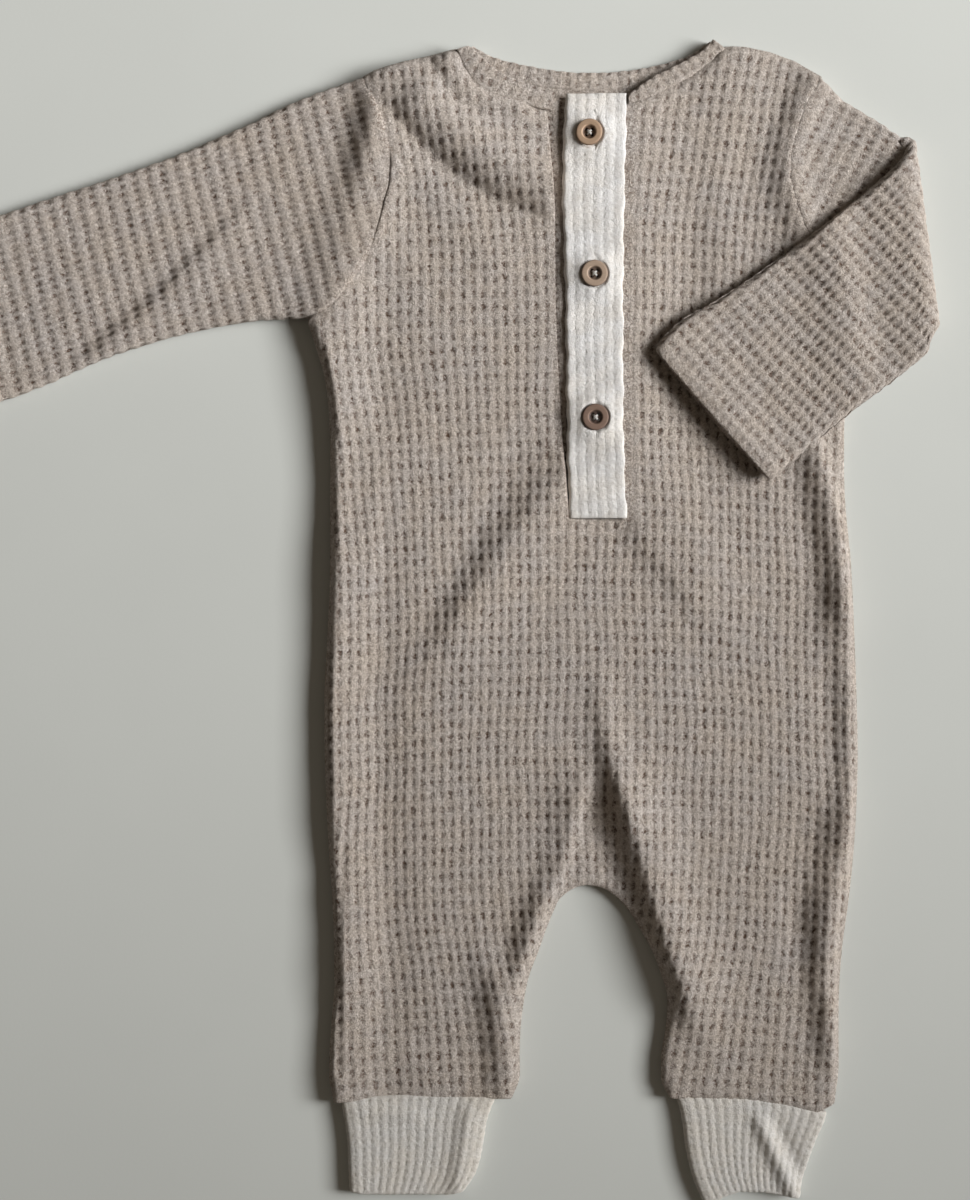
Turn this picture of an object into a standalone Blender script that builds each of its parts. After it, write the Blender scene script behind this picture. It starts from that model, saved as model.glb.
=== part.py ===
"""A baby romper laid flat on its back: body and legs in waffle knit, cream ribbed placket and ankle cuffs.

Lengths in the tables are millimetres: "across" runs from the garment's centre line to the right as it
lies, "up" runs from the leg hems toward the neck, and "height" is over the surface it lies on.
"""

import math

import bmesh
import bpy
import numpy as np

MM = 0.001
GAP = 0.3  # between pieces that touch
ARMHOLE_GAP = 0.75  # the sleeves and the body meet along a curve

# Cloth
KNIT = 2.2  # thickness of the waffle knit
FLAT_HEIGHT = 6.2  # two layers of knit and the air between them
FRONT_MIDDLE = FLAT_HEIGHT - KNIT / 2  # height of the middle of the front's wall
ROLL_WIDTH = 4.2  # how far in from a seam the front turns down to it
SEAM_MIDDLE = 3.5  # height of the front's middle at its side seams
ROLL_DROP = FRONT_MIDDLE - SEAM_MIDDLE

# Body
SHOULDER_UP = 453.0
UNDERARM_UP = 334.5
SLIT_TOP_UP = 425.8
SLIT_END_UP = 248.7
CROTCH_UP = 92.0
CENTRE_ACROSS = -0.9  # the crotch's middle

# Where the garment's centre line and leg hems lie from the middle of the whole box
CENTRE_LINE_X = 63.68
LEG_HEM_Y = -204.88

# Rows and columns of the front's points
TOP_BEND_UP = 345.0  # above this the rows bend toward the shape of the top edge
HEM_BEND_UP = 60.0  # below this they bend toward the hems
SIDE_POINTS = 10  # from a side seam to the slit
MIDDLE_POINTS = 3  # over half of the placket's width
INNER_STRIP = 8.5  # width of the columns beside each leg's inner edge
SEAM_STEP = 1.2  # from a seam to the first row of points beside it

# Edges of the body, seen from above: up, left edge, right edge
BODY_EDGES = (
    (460.0, -97.6, 98.9),
    (438.6, -97.6, 98.9),
    (429.1, -94.6, 93.6),
    (416.2, -89.9, 89.0),
    (404.0, -85.9, 85.8),
    (395.0, -85.8, 86.0),
    (386.5, -88.0, 87.9),
    (377.5, -90.3, 91.2),
    (364.6, -95.5, 96.8),
    (353.9, -102.3, 103.2),
    (345.3, -108.0, 108.6),
    (338.8, -114.5, 114.8),
    (334.5, -120.9, 121.0),
    (328.0, -119.0, 118.4),
    (320.0, -116.5, 115.6),
    (308.7, -113.5, 112.0),
    (287.2, -111.6, 109.0),
    (257.1, -111.4, 109.4),
    (231.3, -111.4, 111.8),
    (196.9, -112.7, 113.5),
    (171.1, -113.9, 114.4),
    (149.6, -113.8, 114.8),
    (128.1, -113.1, 114.4),
    (106.6, -112.0, 113.1),
    (85.1, -110.5, 110.9),
    (65.0, -109.7, 108.2),
    (50.7, -109.6, 107.0),
    (35.0, -110.6, 106.6),
    (20.0, -111.7, 106.6),
    (10.0, -111.9, 106.4),
    (0.0, -110.1, 105.0),
)

# Inner edges of the legs: up, inner edge of the left leg, inner edge of the right leg
LEG_INNER_EDGES = (
    (92.0, -0.9, -0.9),
    (91.5, -4.2, 2.2),
    (90.4, -7.2, 5.8),
    (88.6, -10.2, 9.0),
    (85.6, -13.5, 12.8),
    (80.8, -15.9, 17.0),
    (72.2, -19.4, 22.3),
    (63.6, -22.4, 27.0),
    (52.9, -26.5, 31.2),
    (42.1, -28.8, 34.0),
    (29.2, -30.3, 33.2),
    (18.0, -30.7, 31.4),
    (8.0, -30.9, 31.2),
    (0.0, -34.0, 35.0),
)

# The slit in the front for the placket: up, left edge, right edge
SLIT_EDGES = (
    (460.0, -19.2, 16.0),
    (427.0, -18.9, 15.9),
    (386.1, -15.9, 15.0),
    (330.2, -14.6, 14.2),
    (282.9, -12.0, 14.2),
    (248.7, -9.4, 15.9),
    (200.0, -9.4, 15.9),
    (0.0, -9.4, 15.9),
)

# Top edge of the front, from shoulder end to slit and on to the other shoulder end: across, up
FRONT_TOP = (
    (-97.6, 438.6),
    (-92.5, 441.4),
    (-81.7, 444.6),
    (-68.0, 447.4),
    (-57.4, 449.8),
    (-54.6, 443.2),
    (-49.9, 436.0),
    (-42.1, 431.2),
    (-30.1, 427.9),
    (-18.9, 425.4),
    (15.9, 426.2),
    (23.6, 429.8),
    (32.2, 434.2),
    (43.0, 440.0),
    (52.5, 446.0),
    (58.2, 452.2),
    (66.7, 451.9),
    (77.4, 449.6),
    (88.2, 445.6),
    (98.9, 438.6),
)

# Top edge of the back: across, up
BACK_TOP = (
    (-97.6, 438.6),
    (-92.5, 441.4),
    (-81.7, 444.6),
    (-68.0, 447.4),
    (-57.4, 449.8),
    (-50.5, 446.2),
    (-44.7, 442.8),
    (-38.7, 440.4),
    (-30.1, 438.0),
    (-17.2, 435.7),
    (-4.3, 434.4),
    (4.3, 434.4),
    (17.2, 435.4),
    (30.1, 437.6),
    (43.0, 441.6),
    (52.0, 447.6),
    (58.2, 452.2),
    (66.7, 451.9),
    (77.4, 449.6),
    (88.2, 445.6),
    (98.9, 438.6),
)

# Lower edge of the legs: across, up
HEMS = (
    (-112.0, -2.2),
    (-98.9, -0.9),
    (-81.7, 0.0),
    (-34.4, 0.4),
    (35.3, 0.4),
    (64.5, -0.9),
    (81.7, -3.0),
    (96.8, -6.4),
    (106.0, -9.0),
)

# Largest folds of the front. A ridge has a height, a valley a negative one.
# from across, from up, to across, to up, half width, height
FRONT_FOLDS = (
    (-94.0, 340.0, -100.0, 95.0, 8.0, 1.3),
    (-80.0, 432.0, -78.0, 350.0, 6.0, 1.6),
    (-80.0, 428.0, -38.0, 386.0, 7.0, -1.5),
    (-58.0, 425.0, -28.0, 402.0, 7.0, 1.3),
    (-72.0, 398.0, -46.0, 366.0, 9.0, 1.0),
    (-34.0, 270.0, -68.0, 208.0, 9.0, -1.2),
    (-66.0, 262.0, -82.0, 235.0, 14.0, 1.3),
    (22.0, 280.0, 48.0, 238.0, 11.0, 1.0),
    (89.0, 272.0, 98.0, 222.0, 7.0, -1.5),
    (103.0, 175.0, 108.0, 105.0, 6.0, -1.2),
    (90.0, 78.0, 96.0, 32.0, 7.0, -1.6),
    (8.0, 152.0, 16.0, 126.0, 6.0, 0.9),
    (26.0, 116.0, 50.0, 55.0, 10.0, 2.0),
    (4.0, 112.0, 22.0, 74.0, 6.0, -1.5),
    (-15.0, 108.0, -42.0, 52.0, 8.0, -1.5),
    (-22.0, 86.0, -28.0, 58.0, 5.0, 0.9),
    (-66.0, 22.0, -50.0, 18.0, 9.0, -1.2),
    (-98.0, 16.0, -48.0, 17.0, 3.5, 0.8),
    (78.0, 398.0, 80.0, 372.0, 8.0, -1.2),
    (19.0, 425.0, 18.4, 252.0, 2.4, 0.7),
)

# Neck bindings: across, up of the free edge, then across of the seam, and the height of the middle
BINDING_THICK = 3.0
BINDING_ROUNDNESS = 0.6  # the section is a squashed oval: 1 an ellipse, 0 a box
RIGHT_BINDING = (
    (-50.6, 453.0, -57.0, 5.0),
    (-47.4, 448.9, -54.3, 5.1),
    (-43.0, 444.0, -49.2, 5.3),
    (-36.1, 439.2, -42.0, 5.4),
    (-25.8, 435.6, -30.0, 5.4),
    (-14.9, 432.0, -18.6, 5.3),
)
LEFT_BINDING = (
    (52.6, 455.2, 58.0, 5.0),
    (48.0, 450.4, 53.0, 5.1),
    (38.7, 445.0, 43.2, 5.3),
    (27.9, 439.6, 32.4, 5.4),
    (21.5, 435.4, 23.8, 5.4),
    (16.6, 431.6, 16.4, 5.3),
)
BACK_BINDING = (
    (-49.9, 453.2, -56.8, 1.5),
    (-45.2, 450.2, -51.0, 1.5),
    (-38.7, 447.6, -43.6, 1.5),
    (-30.1, 445.5, -32.0, 1.5),
    (-17.2, 443.1, -17.8, 1.5),
    (-4.3, 441.8, -4.3, 1.5),
    (4.3, 441.8, 4.3, 1.5),
    (17.2, 442.8, 17.8, 1.5),
    (30.1, 445.2, 32.0, 1.5),
    (42.6, 449.2, 45.4, 1.5),
    (51.7, 455.2, 57.6, 1.5),
)

# Placket
PLACKET_EDGES = (
    # up, left edge, right edge of the strip on top
    (431.3, -10.8, 15.4),
    (420.0, -11.3, 15.1),
    (394.7, -12.0, 14.5),
    (343.1, -10.8, 13.8),
    (300.1, -10.3, 13.8),
    (270.0, -9.8, 14.3),
    (249.2, -9.0, 15.4),
)
PLACKET_THICK = 1.8
PLACKET_RIBS = 6
PLACKET_RIB_HEIGHT = 0.6
PLACKET_MIDDLE = 5.6  # height of the middle of the strip on top
PLACKET_SOFT_EDGE = 1.2  # how far in from its edge the strip on top rounds down
PLACKET_EDGE_DROP = 0.5
UNDER_PLACKET_THICK = 1.2
UNDER_PLACKET_MIDDLE = 3.1
UNDER_PLACKET_TOP_UP = 424.0
UNDER_PLACKET_REACH = 3.0  # beneath the front, past the slit's left edge
UNDER_PLACKET_INSET = 4.0  # its right edge lies this far inside the top strip's
BUTTONHOLE_ACROSS = 2.6
BUTTONHOLE_LENGTH = 13.0
BUTTONHOLE_WIDTH = 0.8

# Buttons: across, up, tilt in degrees
BUTTONS = ((-0.4, 414.1, 9.0), (1.7, 353.9, 2.0), (2.1, 292.4, 2.0))
BUTTON_DIAMETER = 11.43  # 18 ligne
BUTTON_THICK = 2.6
BUTTON_PROFILE = (
    # share of the radius, height
    (0.0, 1.7),
    (0.36, 1.7),
    (0.48, 2.2),
    (0.57, BUTTON_THICK),
    (0.9, BUTTON_THICK),
    (1.0, 1.9),
    (1.0, 0.8),
    (0.83, 0.0),
    (0.0, 0.0),
)
BUTTON_STEPS = 20
BUTTON_HOLE_DIAMETER = 1.3
BUTTON_HOLE_SPACING = 2.3

# Sleeve stretched out: share of its length, fold edge across, up, underarm edge across, up
RIGHT_SLEEVE_EDGES = (
    (0.00, -98.2, 438.9, -122.0, 335.4),
    (0.05, -107.5, 436.2, -130.5, 335.2),
    (0.15, -124.7, 429.6, -143.5, 334.6),
    (0.30, -150.5, 417.2, -164.0, 331.2),
    (0.45, -176.5, 406.2, -186.0, 325.8),
    (0.60, -202.1, 396.9, -209.0, 318.0),
    (0.80, -236.5, 385.6, -236.5, 305.9),
    (1.00, -277.4, 371.5, -263.2, 296.7),
)
RIGHT_SLEEVE_FOLDS = (
    (-150.0, 375.0, -215.0, 326.0, 9.0, -1.1),
    (-104.0, 424.0, -108.0, 396.0, 7.0, -1.2),
    (-118.0, 345.0, -165.0, 352.0, 12.0, 0.8),
)

# Sleeve folded over the chest: turn of the cloth in degrees (0 on the surface, 180 lying on itself),
# fold edge across, up, underarm edge across, up
LEFT_SLEEVE_EDGES = (
    (0, 99.4, 438.9, 122.0, 335.4),
    (0, 107.5, 430.6, 127.5, 333.4),
    (0, 116.0, 424.9, 133.0, 331.4),
    (0, 124.7, 419.7, 138.5, 330.4),
    (0, 132.6, 414.2, 143.6, 329.8),
    (30, 132.9, 413.6, 143.9, 329.8),
    (60, 133.1, 412.9, 144.0, 329.8),
    (90, 133.2, 411.7, 144.0, 329.6),
    (120, 133.1, 408.4, 143.8, 329.0),
    (150, 132.8, 404.5, 144.0, 326.4),
    (180, 131.0, 400.4, 144.4, 321.8),
    (180, 120.4, 391.0, 135.2, 312.6),
    (180, 109.0, 381.8, 123.6, 303.6),
    (180, 98.0, 373.0, 112.6, 295.4),
    (180, 84.0, 362.8, 102.6, 287.2),
    (180, 70.0, 352.9, 94.4, 280.0),
    (180, 54.0, 342.4, 87.0, 273.6),
    (180, 38.0, 333.2, 80.6, 268.2),
    (180, 26.7, 321.8, 76.5, 264.9),
)
LEFT_SLEEVE_FOLDS = (
    (96.0, 346.0, 114.0, 334.0, 10.0, -1.0),
    (40.0, 326.0, 62.0, 322.0, 12.0, 0.6),
)
SLEEVE_TURN_RADIUS = (FLAT_HEIGHT + 2 * GAP) / 2
SLEEVE_END_HEIGHT = 8.4
SLEEVE_END_WALL = 3.0  # the turned hem is two layers

# Ankle cuffs: share of the way down, left edge, right edge
RIGHT_CUFF_EDGES = (
    (0.0, -107.0, -40.2),
    (0.1, -106.4, -42.0),
    (0.25, -105.4, -44.2),
    (0.5, -104.2, -46.0),
    (0.7, -103.9, -47.6),
    (0.85, -103.7, -49.8),
    (1.0, -103.4, -54.0),
)
LEFT_CUFF_EDGES = (
    (0.0, 37.0, 101.8),
    (0.1, 38.6, 100.8),
    (0.25, 40.0, 98.4),
    (0.45, 41.2, 95.6),
    (0.65, 43.0, 93.2),
    (0.85, 46.0, 91.2),
    (1.0, 49.2, 90.3),
)
# Their lower edges: across, up
RIGHT_CUFF_END = ((-104.0, -39.6), (-98.0, -40.6), (-60.0, -40.9), (-52.0, -39.0))
LEFT_CUFF_END = ((48.0, -45.6), (52.0, -44.9), (58.0, -41.6), (64.0, -39.6), (74.0, -39.8), (91.0, -42.2))
CUFF_KNIT = 1.8
CUFF_HEIGHT = 5.2
CUFF_RIBS = 14
CUFF_RIB_HEIGHT = 0.6
LEFT_CUFF_FOLDS = ((74.0, -17.0, 88.0, -42.0, 4.0, 1.6), (82.0, -16.0, 92.0, -36.0, 4.0, -1.0))
RIGHT_CUFF_FOLDS = ((-50.0, -8.0, -53.0, -36.0, 4.0, 0.6),)

COLOURS = {
    # base colour, roughness
    "oatmeal waffle knit": ((0.47, 0.41, 0.36, 1.0), 0.95),
    "cream rib knit": ((0.76, 0.74, 0.70, 1.0), 0.95),
    "light wood": ((0.36, 0.24, 0.15, 1.0), 0.6),
}


def clear_scene():
    for item in list(bpy.data.objects):
        bpy.data.objects.remove(item)


def material(name):
    """The named cloth or wood, made once."""
    if name in bpy.data.materials:
        return bpy.data.materials[name]
    made = bpy.data.materials.new(name)
    made.use_nodes = True
    colour, roughness = COLOURS[name]
    shader = made.node_tree.nodes["Principled BSDF"]
    shader.inputs["Base Color"].default_value = colour
    shader.inputs["Roughness"].default_value = roughness
    shader.inputs["Metallic"].default_value = 0.0
    made.diffuse_color = colour
    return made


def smooth_read(where, table, column):
    """Reads a column of a table at any value of its first one, along a smooth curve through its rows."""
    rows = np.array(table, float)
    rows = rows[np.argsort(rows[:, 0])]
    known = rows[:, 0]
    values = rows[:, column]
    where = np.clip(np.asarray(where, float), known[0], known[-1])
    steps = np.diff(known)
    slopes = np.diff(values) / steps
    bends = np.empty(len(known))
    bends[1:-1] = (slopes[:-1] * steps[1:] + slopes[1:] * steps[:-1]) / (steps[1:] + steps[:-1])
    bends[0] = slopes[0]
    bends[-1] = slopes[-1]
    bends[1:-1] = np.where(slopes[:-1] * slopes[1:] <= 0, 0.0, bends[1:-1])
    at = np.clip(np.searchsorted(known, where, side="right") - 1, 0, len(steps) - 1)
    t = (where - known[at]) / steps[at]
    rise = values[at] * (1 + 2 * t) * (1 - t) ** 2 + values[at + 1] * t**2 * (3 - 2 * t)
    lean = steps[at] * (bends[at] * t * (1 - t) ** 2 - bends[at + 1] * t**2 * (1 - t))
    return rise + lean


def straight_read(where, table):
    """Reads the second column of a table at any value of its first one, straight between its rows."""
    rows = np.array(table, float)
    return np.interp(where, rows[:, 0], rows[:, 1])


def fold_height(across, up, folds):
    """The summed height of the folds: each is a soft ridge along a line, tapered to both its ends."""
    height = np.zeros(np.shape(across))
    for from_across, from_up, to_across, to_up, half_width, rise in folds:
        run = np.array([to_across - from_across, to_up - from_up])
        length = np.hypot(*run)
        along = ((across - from_across) * run[0] + (up - from_up) * run[1]) / length
        beside = ((across - from_across) * run[1] - (up - from_up) * run[0]) / length
        past = np.maximum(np.maximum(-along, along - length), 0.0)
        taper = np.exp(-((past / (1.6 * half_width)) ** 2))
        height += rise * taper * np.exp(-((beside / half_width) ** 2))
    return height


def distance_to_path(across, up, path):
    """The shortest distance from each point to a line through the path's points."""
    nearest = np.full(np.shape(across), np.inf)
    for (x0, y0), (x1, y1) in zip(path[:-1], path[1:]):
        length = math.hypot(x1 - x0, y1 - y0)
        along = ((across - x0) * (x1 - x0) + (up - y0) * (y1 - y0)) / length
        along = np.clip(along, 0.0, length)
        beside_x = across - x0 - along * (x1 - x0) / length
        beside_y = up - y0 - along * (y1 - y0) / length
        gap = np.hypot(beside_x, beside_y)
        nearest = np.minimum(nearest, gap)
    return nearest


def roll_down(distance):
    """1 at a seam, 0 from the roll's width on, as a quarter of an ellipse."""
    share = np.clip(distance / ROLL_WIDTH, 0.0, 1.0)
    return 1.0 - np.sqrt(1.0 - (1.0 - share) ** 2)


def add_object(name, mesh, material_name, collection, parent):
    """Links an object with the mesh or curve, which may be shared by several."""
    made = bpy.data.objects.new(name, mesh)
    if not mesh.materials:
        mesh.materials.append(material(material_name))
    collection.objects.link(made)
    made.parent = parent
    return made


def mesh_of(name, points, faces):
    """A mesh in metres from points in millimetres."""
    mesh = bpy.data.meshes.new(name)
    mesh.from_pydata((np.asarray(points) * MM).tolist(), [], [list(map(int, face)) for face in faces])
    mesh.validate()
    return mesh


def face_outward(mesh):
    """Turns a closed mesh's faces outward and shades it smooth."""
    shape = bmesh.new()
    shape.from_mesh(mesh)
    bmesh.ops.remove_doubles(shape, verts=shape.verts, dist=1e-7)
    bmesh.ops.recalc_face_normals(shape, faces=shape.faces)
    shape.to_mesh(mesh)
    shape.free()
    mesh.shade_smooth()


def tube_faces(rows, columns, first):
    """Quads of a grid closed round its columns, its points numbered from first."""
    row, column = np.meshgrid(np.arange(rows - 1), np.arange(columns), indexing="ij")
    after = (column + 1) % columns
    corners = (row * columns + column, row * columns + after, (row + 1) * columns + after)
    return np.stack([*corners, (row + 1) * columns + column], axis=-1).reshape(-1, 4) + first


def tube_wall(name, outer, inner, material_name, collection, parent):
    """A closed wall between two tubes of rows x columns points, open at both its ends."""
    rows, columns = outer.shape[:2]
    count = rows * columns
    points = np.concatenate([outer.reshape(-1, 3), inner.reshape(-1, 3)])
    faces = [tube_faces(rows, columns, 0), tube_faces(rows, columns, count)[:, ::-1]]
    for row in (0, rows - 1):
        ring = row * columns + np.arange(columns)
        after = row * columns + (np.arange(columns) + 1) % columns
        faces.append(np.stack([ring, after, after + count, ring + count], axis=1))
    mesh = mesh_of(name, points, np.concatenate(faces))
    face_outward(mesh)
    return add_object(name, mesh, material_name, collection, parent)


def sheet_wall(name, top, bottom, kept, material_name, collection, parent, numbers=None):
    """A closed wall between two grids of points, over the cells that are kept.

    numbers gives each point's number, the same one for two points that are one point of the cloth.
    """
    rows, columns = top.shape[:2]
    count = rows * columns
    if numbers is None:
        numbers = np.arange(count).reshape(rows, columns)
    corners = (numbers[:-1, :-1], numbers[:-1, 1:], numbers[1:, 1:], numbers[1:, :-1])
    cells = np.stack([corner[kept] for corner in corners], axis=1)
    sides = np.concatenate([cells[:, [0, 1]], cells[:, [1, 2]], cells[:, [2, 3]], cells[:, [3, 0]]])
    keys = sides[:, 0] * count + sides[:, 1]
    backward = sides[:, 1] * count + sides[:, 0]
    rim = sides[~np.isin(keys, backward)]
    walls = np.stack([rim[:, 1], rim[:, 0], rim[:, 0] + count, rim[:, 1] + count], axis=1)
    faces = np.concatenate([cells, cells[:, ::-1] + count, walls])
    used, faces = np.unique(faces, return_inverse=True)
    points = np.concatenate([top.reshape(-1, 3), bottom.reshape(-1, 3)])[used]
    mesh = mesh_of(name, points, faces.reshape(-1, 4))
    face_outward(mesh)
    return add_object(name, mesh, material_name, collection, parent)


# ---------------------------------------------------------------- body


def body_levels():
    """Levels of the front's rows: close together at the shoulders, the crotch and the hems."""
    shoulder = [SHOULDER_UP, SHOULDER_UP - SEAM_STEP, SHOULDER_UP - ROLL_WIDTH]
    chest = np.linspace(SHOULDER_UP - ROLL_WIDTH, SLIT_END_UP, 17)[1:]
    belly = np.linspace(SLIT_END_UP, CROTCH_UP + ROLL_WIDTH, 11)[1:]
    crotch = CROTCH_UP - np.array([-SEAM_STEP, 0.0, 0.8, 2.8, 6.4])
    legs = np.linspace(CROTCH_UP - 14.0, ROLL_WIDTH, 7)
    hems = [SEAM_STEP, 0.0]
    return np.concatenate([shoulder, chest, belly, crotch, legs, hems])


def span(start, end, count, near_start, near_end):
    """Points from start to end, with close ones beside an end that rolls down."""
    direction = np.sign(end - start)
    close = np.array([0.0, SEAM_STEP])
    head = start + direction * close if near_start else np.empty(0)
    tail = end - direction * close[::-1] if near_end else np.empty(0)
    first = start + direction * ROLL_WIDTH if near_start else start
    last = end - direction * ROLL_WIDTH if near_end else end
    return np.concatenate([head, np.linspace(first, last, count), tail])


def toward_top(levels):
    """How far each level's row has moved from straight across to the shape of the top edge."""
    return np.clip((levels - TOP_BEND_UP) / (SHOULDER_UP - TOP_BEND_UP), 0.0, 1.0)


def front_grid():
    """Across and up of the front's points, row by row, and which cells are cloth.

    The columns run from side seam to slit, over the placket's width, and from slit to side seam. The
    middle column is doubled, so that below the crotch each leg has its own inner edge.
    """
    levels = body_levels()
    side_up = levels + toward_top(levels) * (FRONT_TOP[0][1] - SHOULDER_UP)
    slit_up = levels + toward_top(levels) * (SLIT_TOP_UP - SHOULDER_UP)
    left = smooth_read(side_up, BODY_EDGES, 1)
    right = smooth_read(side_up, BODY_EDGES, 2)
    slit_left = smooth_read(slit_up, SLIT_EDGES, 1)
    slit_right = smooth_read(slit_up, SLIT_EDGES, 2)
    inner_left = smooth_read(levels, LEG_INNER_EDGES, 1)
    inner_right = smooth_read(levels, LEG_INNER_EDGES, 2)
    slit_left = np.minimum(slit_left, inner_left - INNER_STRIP)
    slit_right = np.maximum(slit_right, inner_right + INNER_STRIP)
    rows = []
    for row in range(len(levels)):
        rows.append(
            np.concatenate(
                [
                    span(left[row], slit_left[row], SIDE_POINTS, True, False)[:-1],
                    span(slit_left[row], inner_left[row], MIDDLE_POINTS, False, True),
                    span(inner_right[row], slit_right[row], MIDDLE_POINTS, True, False),
                    span(slit_right[row], right[row], SIDE_POINTS, False, True)[1:],
                ]
            )
        )
    across = np.array(rows)
    top_up = straight_read(across[0], FRONT_TOP)[None, :]
    hem_up = straight_read(across[-1], HEMS)[None, :]
    return levels, across, up_at(levels[:, None], top_up, hem_up)


def up_at(levels, top_up, hem_up):
    """Where a level lies once the rows have bent to the top edge and to the hems."""
    toward_hem = np.clip(1.0 - levels / HEM_BEND_UP, 0.0, 1.0)
    return levels + toward_top(levels) * (top_up - SHOULDER_UP) + toward_hem * hem_up


def rolled_edges():
    """The seams that the front turns down to, as paths: sides, shoulders and the legs' inner edges."""
    sides = np.array([row for row in BODY_EDGES if row[0] <= UNDERARM_UP])
    hems = np.array(HEMS)
    inner = np.array(LEG_INNER_EDGES)
    shoulders = np.array(FRONT_TOP)
    return (
        np.column_stack([sides[:, 1], sides[:, 0]]),
        np.column_stack([sides[:, 2], sides[:, 0]]),
        np.concatenate([inner[::-1, [1, 0]], inner[1:, [2, 0]]]),
        shoulders[:5],
        shoulders[-5:],
        hems[:4],
        hems[4:],
    )


def front_middle(across, up):
    """Height of the middle of the front's wall: flat, with its folds, and turned down at its seams."""
    distance = np.full(np.shape(across), np.inf)
    for path in rolled_edges():
        distance = np.minimum(distance, distance_to_path(across, up, path))
    rolled = roll_down(distance)
    folds = fold_height(across, up, FRONT_FOLDS)
    return FRONT_MIDDLE + folds * (1.0 - rolled) - ROLL_DROP * rolled


def wall_normals(points, kept, numbers):
    """Unit normals at a grid's points, from the cells of cloth round each."""
    flat = points.reshape(-1, 3)
    corners = (numbers[:-1, :-1], numbers[:-1, 1:], numbers[1:, 1:], numbers[1:, :-1])
    cells = np.stack([corner[kept] for corner in corners], axis=1)
    a, b, c, d = (flat[cells[:, at]] for at in range(4))
    facing = np.cross(c - a, d - b)
    total = np.zeros(flat.shape)
    for at in range(4):
        np.add.at(total, cells[:, at], facing)
    length = np.linalg.norm(total, axis=1, keepdims=True)
    normals = np.where(length > 0, total / np.where(length > 0, length, 1.0), (0.0, 0.0, 1.0))
    normals = normals * np.where(normals[:, 2:] < 0, -1.0, 1.0)
    return normals[numbers.ravel()].reshape(points.shape)


def make_front(collection, parent):
    levels, across, up = front_grid()
    height = front_middle(across, up)
    middle = np.stack([across, up, height], axis=-1)
    columns = across.shape[1]
    kept = np.ones((len(levels) - 1, columns - 1), bool)
    left_slit = SIDE_POINTS + 1
    right_slit = columns - 1 - left_slit
    above = levels[:-1] > SLIT_END_UP + 0.1
    kept[above, left_slit:right_slit] = False
    centre = columns // 2 - 1
    kept[:, centre] = False
    numbers = np.arange(middle.shape[0] * columns).reshape(-1, columns)
    above_crotch = levels > CROTCH_UP - 0.1
    numbers[above_crotch, centre + 1] = numbers[above_crotch, centre]
    normals = wall_normals(middle, kept, numbers)
    seen, rise = normals * (KNIT, KNIT, 0.0), normals * (0.0, 0.0, KNIT / 2)
    top = middle + rise
    bottom = middle - rise - seen
    return sheet_wall(
        "front_body", top, bottom, kept, "oatmeal waffle knit", collection, parent, numbers
    )


def side_path(levels, column, table):
    """An edge of the body from above, at the given levels."""
    side_up = levels + toward_top(levels) * (FRONT_TOP[0][1] - SHOULDER_UP)
    across = smooth_read(side_up, table, column)
    return np.column_stack([across, up_at(levels, FRONT_TOP[0][1], straight_read(across[-1], HEMS))])


def back_outline():
    """The back's edge seen from above, once round: shoulders and neck, right side, legs, left side."""
    side_levels = np.concatenate([np.linspace(448.0, 310.0, 22), np.linspace(290.0, 0.0, 17)])
    inner_levels = np.concatenate([[91.2, 89.6, 87.0, 83.0], np.linspace(78.0, 10.0, 8), [4.0, 0.0]])
    right = side_path(side_levels, 2, BODY_EDGES)
    left = side_path(side_levels, 1, BODY_EDGES)
    inner_right = side_path(inner_levels, 2, LEG_INNER_EDGES)
    inner_left = side_path(inner_levels, 1, LEG_INNER_EDGES)
    crotch = [(CENTRE_ACROSS, CROTCH_UP)]
    right_hem = HEMS[5:8][::-1]
    left_hem = HEMS[1:3][::-1]
    return np.concatenate(
        [BACK_TOP, right, right_hem, inner_right[::-1], crotch, inner_left, left_hem, left[::-1]]
    )


def make_back(collection, parent):
    """The back lies flat: its outline filled, and thickened by half the knit each way."""
    curve = bpy.data.curves.new("back_body", "CURVE")
    curve.dimensions = "2D"
    curve.fill_mode = "BOTH"
    curve.extrude = KNIT / 2 * MM
    line = curve.splines.new("POLY")
    outline = back_outline() * MM
    line.points.add(len(outline) - 1)
    flat = np.column_stack([outline, np.zeros(len(outline)), np.ones(len(outline))])
    line.points.foreach_set("co", flat.ravel())
    line.use_cyclic_u = True
    made = add_object("back_body", curve, "oatmeal waffle knit", collection, parent)
    made.location.z = KNIT / 2 * MM
    return made


# ---------------------------------------------------------------- sleeves and cuffs


def flat_ring(under, over, wall_in, height):
    """A flattened ring: share across, distance beyond the flat stretch and rise for each of its points.

    It runs along the underside from the first edge to the second and back over the top, with under
    and over cells on them. wall_in is how far inside the outer ring it lies.
    """
    radius = (height - 2 * wall_in) / 2
    turn = np.radians([-45.0, 0.0, 45.0])
    zero, one = np.zeros(under + 1), np.zeros(over + 1)
    out, back = np.linspace(0, 1, under + 1), np.linspace(1, 0, over + 1)
    share = np.concatenate([out, np.ones(3), back, np.zeros(3)])
    beyond = np.concatenate([zero, radius * np.cos(turn), one, -radius * np.cos(turn)])
    rise = np.concatenate([zero - radius, radius * np.sin(turn), one + radius, -radius * np.sin(turn)])
    return share, beyond, rise + height / 2


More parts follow.
